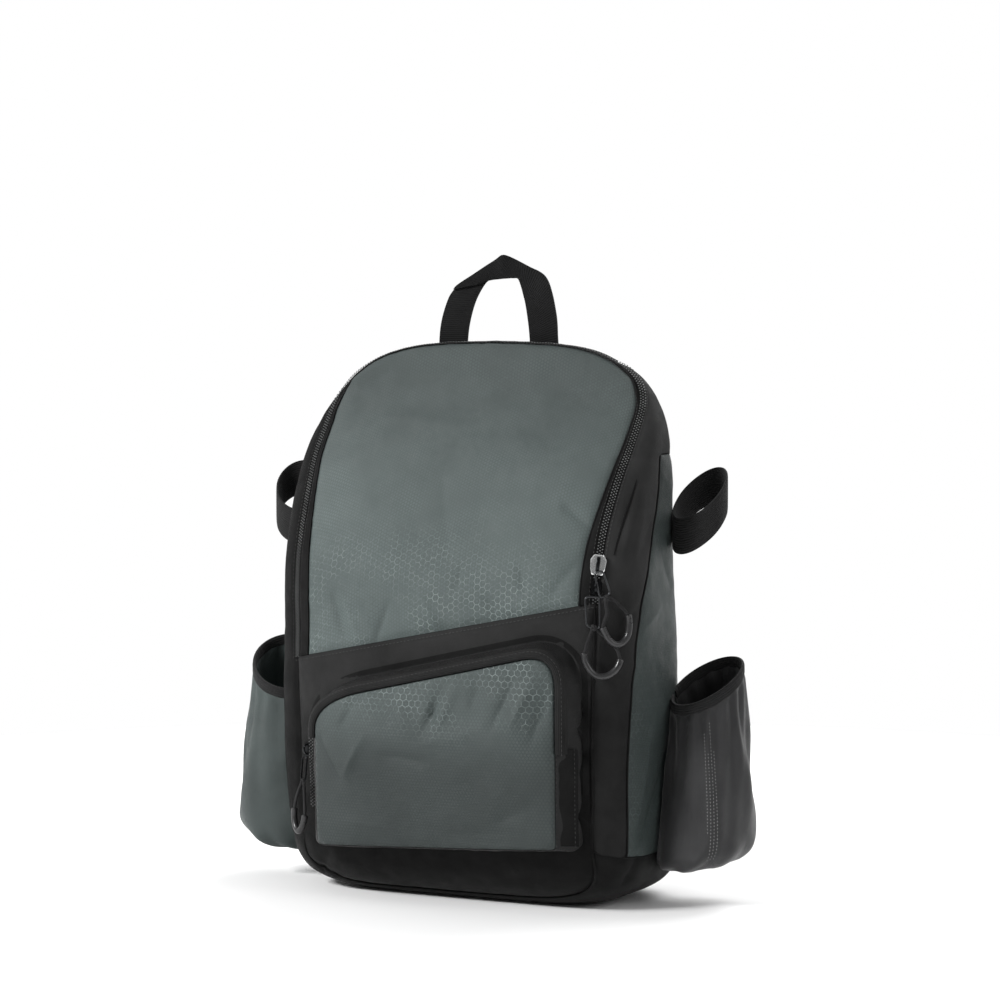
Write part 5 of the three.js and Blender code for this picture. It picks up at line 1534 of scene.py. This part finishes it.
STRAP_WIDTH, STRAP_THICK = 60.0, 9.0
STRAP_TOP, STRAP_BOTTOM = BAG_HEIGHT * 0.951, BAG_HEIGHT * 0.391
STRAP_SPREAD = (BAG_WIDTH * 0.1375, BAG_WIDTH * 0.2625)
STRAP_BOW, STRAP_END_CLEAR = 26.0, 3.0
STRAP_WEB = 25.0
ANCHOR_HEIGHT, ANCHOR_SPREAD, ANCHOR_THICK = BAG_HEIGHT * 0.138, BAG_WIDTH * 0.35, 2.4


def strap_point(side, share):
    share = np.asarray(share, float)
    x = side * (STRAP_SPREAD[0] + (STRAP_SPREAD[1] - STRAP_SPREAD[0]) * share**1.3)
    z = STRAP_TOP + (STRAP_BOTTOM - STRAP_TOP) * share
    full = np.maximum(np.sin(math.pi * share**0.8), 0) ** 1.2
    bow = STRAP_END_CLEAR + (STRAP_BOW - STRAP_END_CLEAR) * full
    p = face_point(x, z, 1)
    p[..., 1] += bow + STRAP_THICK / 2
    return p


def anchor_top(side):
    p = face_point(side * ANCHOR_SPREAD, ANCHOR_HEIGHT, 1)
    return p + [0, ANCHOR_THICK + 2 * SEAM, 0]


def strap_rail(side):
    share = np.linspace(0, 1, 120)
    path = strap_point(side, share)
    _, across, up = rail_frames(path, steady([0.0, 1.0, 0.0], path))
    return share, path, across, up


def shoulder_strap(side):
    share, path, across, up = strap_rail(side)
    a = np.linspace(0, 2 * math.pi, 64, endpoint=False)
    c, s = np.cos(a), np.sin(a)
    reach = (np.abs(c) ** 3.2 + np.abs(s) ** 3.2) ** (-1 / 3.2)
    width = STRAP_WIDTH / 2 * (1 - 0.3 * np.maximum(0, (share - 0.7) / 0.3) ** 2)
    dx = (c * reach)[None] * width[:, None]
    dy = (s * reach)[None] * (STRAP_THICK / 2)
    edge = width[:, None] - np.abs(dx)
    dy = dy * (0.42 + 0.58 * (1 - np.exp(-edge / 5.0)))
    grid = path[:, None] + dx[..., None] * across[:, None] + dy[..., None] * up[:, None]
    grid += up[:, None] * (0.5 * cloud(grid, 30, 81))[..., None]
    return grid, path, across, up, width


def fill_pad(piece, held, voxel=3.6, pressure=4.0, most=3.0):
    """Fills a padded piece by a short cloth simulation with air inside and its seams held.

    held takes places in millimetres and gives 1 where a seam holds the cloth. most is how far in
    millimetres a point may move."""
    even = piece.modifiers.new("even", "REMESH")
    even.mode, even.voxel_size = "VOXEL", voxel * MM
    level = piece.modifiers.new("level", "SMOOTH")
    level.factor, level.iterations = 0.5, 3
    mesh = bpy.data.meshes.new_from_object(piece.evaluated_get(bpy.context.evaluated_depsgraph_get()))
    piece.modifiers.clear()
    piece.data = mesh
    before = np.empty(len(mesh.vertices) * 3)
    mesh.vertices.foreach_get("co", before)
    before = before.reshape(-1, 3)
    seams = piece.vertex_groups.new(name="seams")
    seams.add(np.nonzero(held(before / MM))[0].tolist(), 1.0, "REPLACE")
    air = piece.modifiers.new("air", "CLOTH")
    air.settings.use_pressure = True
    air.settings.uniform_pressure_force = pressure
    air.settings.effector_weights.gravity = 0
    air.settings.vertex_group_mass = "seams"
    air.point_cache.frame_start, air.point_cache.frame_end = 1, 20
    for frame in range(1, 21):
        bpy.context.scene.frame_set(frame)
    filled = piece.evaluated_get(bpy.context.evaluated_depsgraph_get())
    after = np.empty(before.size)
    filled.to_mesh().vertices.foreach_get("co", after)
    filled.to_mesh_clear()
    piece.modifiers.remove(air)
    piece.vertex_groups.remove(seams)
    step = after.reshape(-1, 3) - before
    far = np.linalg.norm(step, axis=1, keepdims=True)
    step *= np.minimum(1, most * MM / np.maximum(far, 1e-9))
    mesh.vertices.foreach_set("co", (before + step).ravel())
    mesh.shade_smooth()
    bpy.context.scene.frame_set(1)
    smooth = piece.modifiers.new("smooth", "SUBSURF")
    smooth.levels = smooth.render_levels = 1


def strap_set(side):
    name = SLEEVE_SIDES[side]["name"]
    grid, path, across, up, width = shoulder_strap(side)
    m = grid.shape[1]
    pad = shell("strap_pad_" + name, grid, pad_mesh, thick=0, wrap=True, away=path.mean(0))

    def held(places):
        nearest = np.argmin(np.linalg.norm(places[:, None] - path[None], axis=-1), axis=1)
        off = places - path[nearest]
        sideways = np.abs(np.sum(off * across[nearest], 1))
        above = np.sum(off * up[nearest], 1)
        ends = (nearest < 8) | (nearest > 110)
        return ends | (sideways > width[nearest] - 3.5) | ((above > 0) & (sideways < STRAP_WEB / 2 + 2))

    fit(pad, "black_mesh", "shoulder_strap_" + name)
    fill_pad(pad, held)
    for way in (-1, 1):
        rail = (path + across * (way * (width - 0.8))[:, None])[1:-4]
        edge_name = "strap_edge_%s_%s" % (name, "in" if way < 0 else "out")
        fit(sweep(edge_name, rail, round_section(4.8, 8), webbing), "webbing")
    span = slice(6, 112)
    rail = path[span] + up[span] * (STRAP_THICK / 2 + 0.5)
    section = band_section(STRAP_WEB, 1.6)
    fit(sweep("strap_top_web_" + name, rail, section, webbing, up_hint=up[span]), "webbing")
    for way in (-1, 1):
        row = rail + across[span] * way * 10.5 + up[span] * 0.85
        row_name = "strap_stitches_%s_%s" % (name, "in" if way < 0 else "out")
        fit(stitches(row_name, row, up[span], thread), "webbing")
    for end in (0, -1):
        cap = np.stack([grid[end], np.tile(path[end], (m, 1))])
        cap_name = "strap_end_%s_%s" % (name, "top" if end == 0 else "low")
        middle = path[len(path) // 2]
        fit(shell(cap_name, cap, webbing, thick=0, wrap=True, away=middle), "webbing")


for side in (-1, 1):
    strap_set(side)


def harness(side):
    name = SLEEVE_SIDES[side]["name"]
    end = strap_point(side, 1.0)
    low = anchor_top(side)
    down = unit(low - end)
    out = unit(np.array([0.0, 1.0, 0.0]) - down[1] * down)
    start = end + down * (SEAM + 4)
    path = np.linspace(start, low, 60)
    sag = np.sin(np.linspace(0, math.pi, 60))[:, None] * 0.8
    section = band_section(STRAP_WEB, 1.7)
    web = sweep("lower_web_" + name, path + out * sag, section, webbing, up_hint=steady(out, path))
    fit(web, "webbing", "strap_webbing_" + name)


for side in (-1, 1):
    harness(side)


def anchor(side):
    name = SLEEVE_SIDES[side]["name"]
    x = side * ANCHOR_SPREAD
    top = ANCHOR_HEIGHT - SEAM - STRAP_WEB / 4
    t = np.linspace(0, 1, 26)[:, None]
    half = (STRAP_WEB + (34 - STRAP_WEB) * t) / 2
    dx = half * np.linspace(-1, 1, 26)[None]
    base = face_point(x + dx, top - 30 * t, 1)
    grid = base + body_normal(base) * (ANCHOR_THICK + SEAM)
    cloth = shell("strap_anchor_cloth_" + name, grid, webbing, thick=1.9)
    fit(cloth, "webbing", "strap_anchor_" + name)
    for k in (3, 22):
        row = grid[2:-2, k]
        out = body_normal(base)[2:-2, k]
        row_name = "anchor_stitches_%s_%d" % (name, k)
        fit(stitches(row_name, row + [0, 0.1, 0], out, thread), "webbing")


for side in (-1, 1):
    anchor(side)


# Zipper pulls

# the slider's outline: across and along the zipper, in millimetres
SHIELD = [
    (-3.9, 8.2), (3.9, 8.2), (6.4, 4.0), (5.8, -3.0),
    (4.3, -8.0), (-4.3, -8.0), (-5.8, -3.0), (-6.4, 4.0),
]


def plate(name, at, across, along, out, corners, layers, material):
    """A small moulded plate. layers hold a share of its size and a height each."""
    rounded = []
    for k, c in enumerate(corners):
        before, after = np.array(corners[k - 1]), np.array(corners[(k + 1) % len(corners)])
        c = np.array(c)
        for s in np.linspace(0, 1, 5):
            a, b = c + unit(before - c) * 1.1, c + unit(after - c) * 1.1
            rounded.append(a * (1 - s) ** 2 + 2 * c * s * (1 - s) + b * s**2)
    ring = np.array(rounded)
    m = len(ring)
    points = np.concatenate(
        [at + ring[:, :1] * k * across + ring[:, 1:] * k * along + out * h for k, h in layers]
    )
    faces = [
        [r * m + i, r * m + (i + 1) % m, (r + 1) * m + (i + 1) % m, (r + 1) * m + i]
        for r in range(len(layers) - 1)
        for i in range(m)
    ]
    faces += [list(range(m)), list(range((len(layers) - 1) * m, len(layers) * m))[::-1]]
    if np.cross(across, along) @ out < 0:
        faces = [f[::-1] for f in faces]
    faces = [f[::-1] for f in faces]
    return new_object(name, points, faces, None, material, 35)


def slider(name, height, size, metal_finish, bridge_finish, at=None, out=None):
    """A zipper's slider with its bridge, on the main zipper at a height or at a given place."""
    if at is None:
        station = 1 + (height - CORNER_TOP) / (ARCH_FOOT - CORNER_TOP)
        steps = station + np.array([-0.01, 0.01])
        base = body_point(steps, seam_turn("zip", steps))
        middle = body_point(station, seam_turn("zip", station))
        out = body_normal(middle)
        at = skin_of(middle[None], 0.3)[0]
        along = unit(base[1] - base[0])
    else:
        along = unit(np.array([0.0, 0.0, 1.0]) - out[2] * out)
    across = unit(np.cross(along, out))
    shield = [(x * size, z * size) for x, z in SHIELD]
    layers = [(0.86, 0.0), (1.0, 0.5), (1.0, 1.5), (0.9, 2.3), (0.5, 2.6)]
    body = plate(name + "_shield", at, across, along, out, shield, layers, metal_finish)
    arch = [(6.2, 1.4), (5.2, 4.2), (2.4, 5.6), (-1.6, 5.4), (-4.6, 3.8), (-6.2, 1.4)]
    path = smooth_path([at + along * a * size + out * h for a, h in arch], 40)
    section = band_section(2.9 * size, 1.3, 5, 4)
    return body, sweep(name + "_bridge", path, section, bridge_finish, up_hint=steady(out, path))


def wire_link(name, corners, wire, finish, bend=3.0):
    """A closed wire link through its corners."""
    c = np.array(corners, float)
    path = []
    for k in range(4):
        a, b = c[k] + unit(c[k - 1] - c[k]) * bend, c[k] + unit(c[(k + 1) % 4] - c[k]) * bend
        for s in np.linspace(0, 1, 9):
            path.append(a * (1 - s) ** 2 + 2 * c[k] * s * (1 - s) + b * s**2)
    path = np.array(path)
    flat = steady(unit(np.cross(c[1] - c[0], c[2] - c[1])), path)
    return sweep(name, path, round_section(wire, 10), finish, up_hint=flat, closed=True)


def knot(name, at, size, finish):
    """A small overhand knot: three turns round a middle."""
    a = np.linspace(0, 2 * math.pi, 60, endpoint=False)
    r = size * (0.62 + 0.3 * np.cos(3 * a))
    path = np.stack([r * np.cos(2 * a), size * 0.34 * np.sin(3 * a), r * np.sin(2 * a)], 1) + np.array(at)
    return sweep(name, path, round_section(1.9, 8), finish, closed=True)


def grip(name, points, finish, diameter=5.2):
    """A rubber tube in a U, with a lip at each open end."""
    path = smooth_path(points, 90)
    length = run_of(path)
    from_end = np.minimum(length, length[-1] - length)
    girth = 1 + 0.07 * np.exp(-((from_end / 1.2) ** 2)) - 0.16 * np.exp(-((from_end / 0.25) ** 2))
    both = np.stack([girth, girth], 1)
    return sweep(name, path, round_section(diameter, 18), finish, scale=both, sharp=60)


def cord_leg(name, points, finish, diameter=2.1):
    path = smooth_path(points, 40)
    twist = 1 + 0.1 * np.sin(np.linspace(0, path_length(path) * 2 * math.pi / 1.9, 40))
    return sweep(name, path, round_section(diameter, 8), finish, scale=np.stack([twist, twist], 1))


# Places in millimetres, read down each pull: link, knot, the two cord legs and the grip
PULLS = {
    "upper": {
        "height": 275.5,
        "size": 1.0,
        "shield": bright_metal,
        "link": [(136.0, -78.6, 270.6), (141.8, -75.6, 271.8), (147.5, -73.6, 254), (140.6, -78.0, 250.2)],
        "knot": (145.2, -75.6, 250.2),
        "legs": [
            [(146.0, -74.8, 251), (148.6, -72.9, 249.8), (152.2, -69.7, 245.8), (156.2, -65.2, 240), (158, -63, 236)],
            [(144.7, -75.9, 251), (144.9, -76.2, 246), (145.7, -75.6, 239), (143.9, -76.8, 232), (142.9, -77.8, 226)],
        ],
        "grip": [
            (158.2, -63.2, 236.9), (158.6, -62.5, 229.3), (157.8, -63.9, 220.5), (154.8, -67.8, 215.2),
            (151.0, -72.0, 214.3), (146.9, -75.5, 218.4), (144.0, -77.6, 224.8), (143.0, -78.1, 227.6),
        ],
    },
    "lower": {
        "height": 258.0,
        "size": 0.74,
        "shield": black_metal,
        "link": [(129.8, -82.6, 251.4), (140.2, -78.2, 251.4), (140.7, -78.4, 226.7), (131.3, -82.6, 228.3)],
        "knot": (136.4, -80.9, 227.2),
        "legs": [
            [(136.0, -81.0, 228), (134.1, -82.0, 222.2), (131.6, -83.4, 214.5), (130.3, -84.6, 206)],
            [(136.8, -80.2, 227.5), (140.8, -78.2, 223.4), (147.2, -73.8, 216.9), (152, -70, 209.1), (154, -69, 201)],
        ],
        "grip": [
            (130.5, -85.0, 207.6), (131.1, -84.9, 201.9), (134.1, -83.9, 195.5), (138.6, -81.9, 190.5),
            (143.3, -79.4, 189.3), (148.4, -75.8, 191.0), (152.6, -72.2, 195.9), (154.6, -69.9, 202.3),
        ],
    },
    "pocket": {
        "at": (-122.5, -78.2, 117.0),
        "size": 0.7,
        "shield": black_metal,
        "link": [(-125.4, -83.4, 111.5), (-120.4, -84.8, 111.5), (-121.0, -87.0, 91.5), (-125.8, -85.6, 91.5)],
        "knot": (-122.8, -87.2, 91.0),
        "legs": [
            [(-123.6, -87.2, 91), (-127.5, -86.4, 84), (-131.8, -84.2, 74), (-134.0, -82.6, 66)],
            [(-122.2, -87.2, 91), (-121.2, -88.2, 83), (-120.2, -89.2, 73), (-119.8, -89.6, 62)],
        ],
        "grip": [
            (-134.0, -82.6, 68), (-133.9, -82.8, 60), (-131.2, -84.8, 53), (-127.0, -87.4, 50.4),
            (-123.0, -89.2, 54), (-120.4, -89.8, 60), (-119.8, -89.6, 64),
        ],
    },
}
for name, row in PULLS.items():
    if "at" in row:
        at = np.array(row["at"])
        out = body_normal(at)
        shield, bridge = slider(name + "_slider", 0, row["size"], row["shield"], black_metal, at=at, out=out)
    else:
        shield, bridge = slider(name + "_slider", row["height"], row["size"], row["shield"], black_metal)
    slot = "bright_metal" if name == "upper" else "dark_metal"
    fit(shield, slot, name + "_pull_slider")
    fit(bridge, "dark_metal")
    finish = black_metal if name == "pocket" else dark_metal
    fit(wire_link(name + "_link", row["link"], 1.6, finish), "dark_metal", name + "_pull_link")
    fit(knot(name + "_knot", row["knot"], 2.3, cord_braid), "cord", name + "_pull_cord")
    for k, leg in enumerate(row["legs"]):
        thick = 3.4 if name == "upper" and k == 1 else 2.6
        fit(cord_leg("%s_cord_%d" % (name, k), leg, cord_braid, thick), "cord")
    fit(grip(name + "_grip", row["grip"], rubber), "rubber", name + "_pull_grip")

# The moulded buckles keep their solids, with a finish of their own
for name in ("strap_buckle_left", "strap_buckle_right"):
    node = frame["nodes"][name]
    node.data.materials.clear()
    node.data.materials.append(buckle_plastic)
    node.data.shade_smooth()
    node.data.set_sharp_from_angle(angle=math.radians(40))


# Floor, light and camera


def floor():
    """A pale round of floor under the bag, which runs into the white of the studio."""
    ring = np.linspace(0, 2 * math.pi, 96, endpoint=False)
    points = [(1.15 * math.cos(a), 1.15 * math.sin(a), 0) for a in ring]
    mesh = bpy.data.meshes.new("floor")
    mesh.from_pydata(points, [], [list(range(96))])
    s = Shader("floor_paint", (0.95, 0.95, 0.95), 0.9, Specular_IOR_Level=0.1)
    mesh.materials.append(s.done())
    piece = bpy.data.objects.new("floor", mesh)
    bpy.context.scene.collection.objects.link(piece)


def area_light(name, place, target, power, size, colour=(1, 1, 1)):
    data = bpy.data.lights.new(name, "AREA")
    data.energy, data.size, data.color = power, size, colour
    lamp = bpy.data.objects.new(name, data)
    lamp.location = place
    lamp.rotation_euler = (Vector(target) - Vector(place)).to_track_quat("-Z", "Y").to_euler()
    bpy.context.scene.collection.objects.link(lamp)


floor()
area_light("key", (-1.2, -1.75, 1.5), (0, 0, 0.28), 66, 0.6)
area_light("fill", (1.9, -0.3, 1.1), (0, 0, 0.2), 9, 0.9)
area_light("top", (0.2, 1.5, 1.7), (0, 0.5, 0.0), 42, 1.6)

world = bpy.data.worlds.new("studio")
world.use_nodes = True
backdrop = world.node_tree.nodes["Background"]
backdrop.inputs["Color"].default_value = (1, 1, 1, 1)
# The studio is white behind the bag and dimmer on the camera's side
toward = world.node_tree.nodes.new("ShaderNodeTexCoord").outputs["Generated"]
facing = world.node_tree.nodes.new("ShaderNodeVectorMath")
facing.operation = "DOT_PRODUCT"
facing.inputs[1].default_value = (-math.sin(math.radians(27)), math.cos(math.radians(27)), 0.15)
level = world.node_tree.nodes.new("ShaderNodeMapRange")
level.inputs["From Min"].default_value, level.inputs["From Max"].default_value = -0.1, 0.8
level.inputs["To Min"].default_value, level.inputs["To Max"].default_value = 0.22, 1.0
world.node_tree.links.new(toward, facing.inputs[0])
world.node_tree.links.new(facing.outputs["Value"], level.inputs["Value"])
# Seen directly it is white all round
seen = world.node_tree.nodes.new("ShaderNodeLightPath").outputs["Is Camera Ray"]
strength = world.node_tree.nodes.new("ShaderNodeMath")
strength.operation = "MAXIMUM"
world.node_tree.links.new(level.outputs["Result"], strength.inputs[0])
world.node_tree.links.new(seen, strength.inputs[1])
world.node_tree.links.new(strength.outputs["Value"], backdrop.inputs["Strength"])
bpy.context.scene.world = world
bpy.context.scene.view_settings.view_transform = "Standard"

CAMERA_TURN, CAMERA_DISTANCE, CAMERA_HEIGHT = math.radians(27), 2.6, 0.45
CAMERA_PITCH, CAMERA_SHIFT = math.radians(-2.85), 14.5 / 1.22 * MM
camera = bpy.data.cameras.new("camera")
camera.sensor_width, camera.lens = 36.0, 114.19
eye = bpy.data.objects.new("camera", camera)
side_way = np.array([math.cos(CAMERA_TURN), math.sin(CAMERA_TURN), 0])
ahead = np.array([-math.sin(CAMERA_TURN), math.cos(CAMERA_TURN), 0])
eye.location = -ahead * CAMERA_DISTANCE + side_way * CAMERA_SHIFT + np.array([0, 0, CAMERA_HEIGHT])
eye.rotation_euler = (math.pi / 2 + CAMERA_PITCH, 0, CAMERA_TURN)
bpy.context.scene.collection.objects.link(eye)
bpy.context.scene.camera = eye
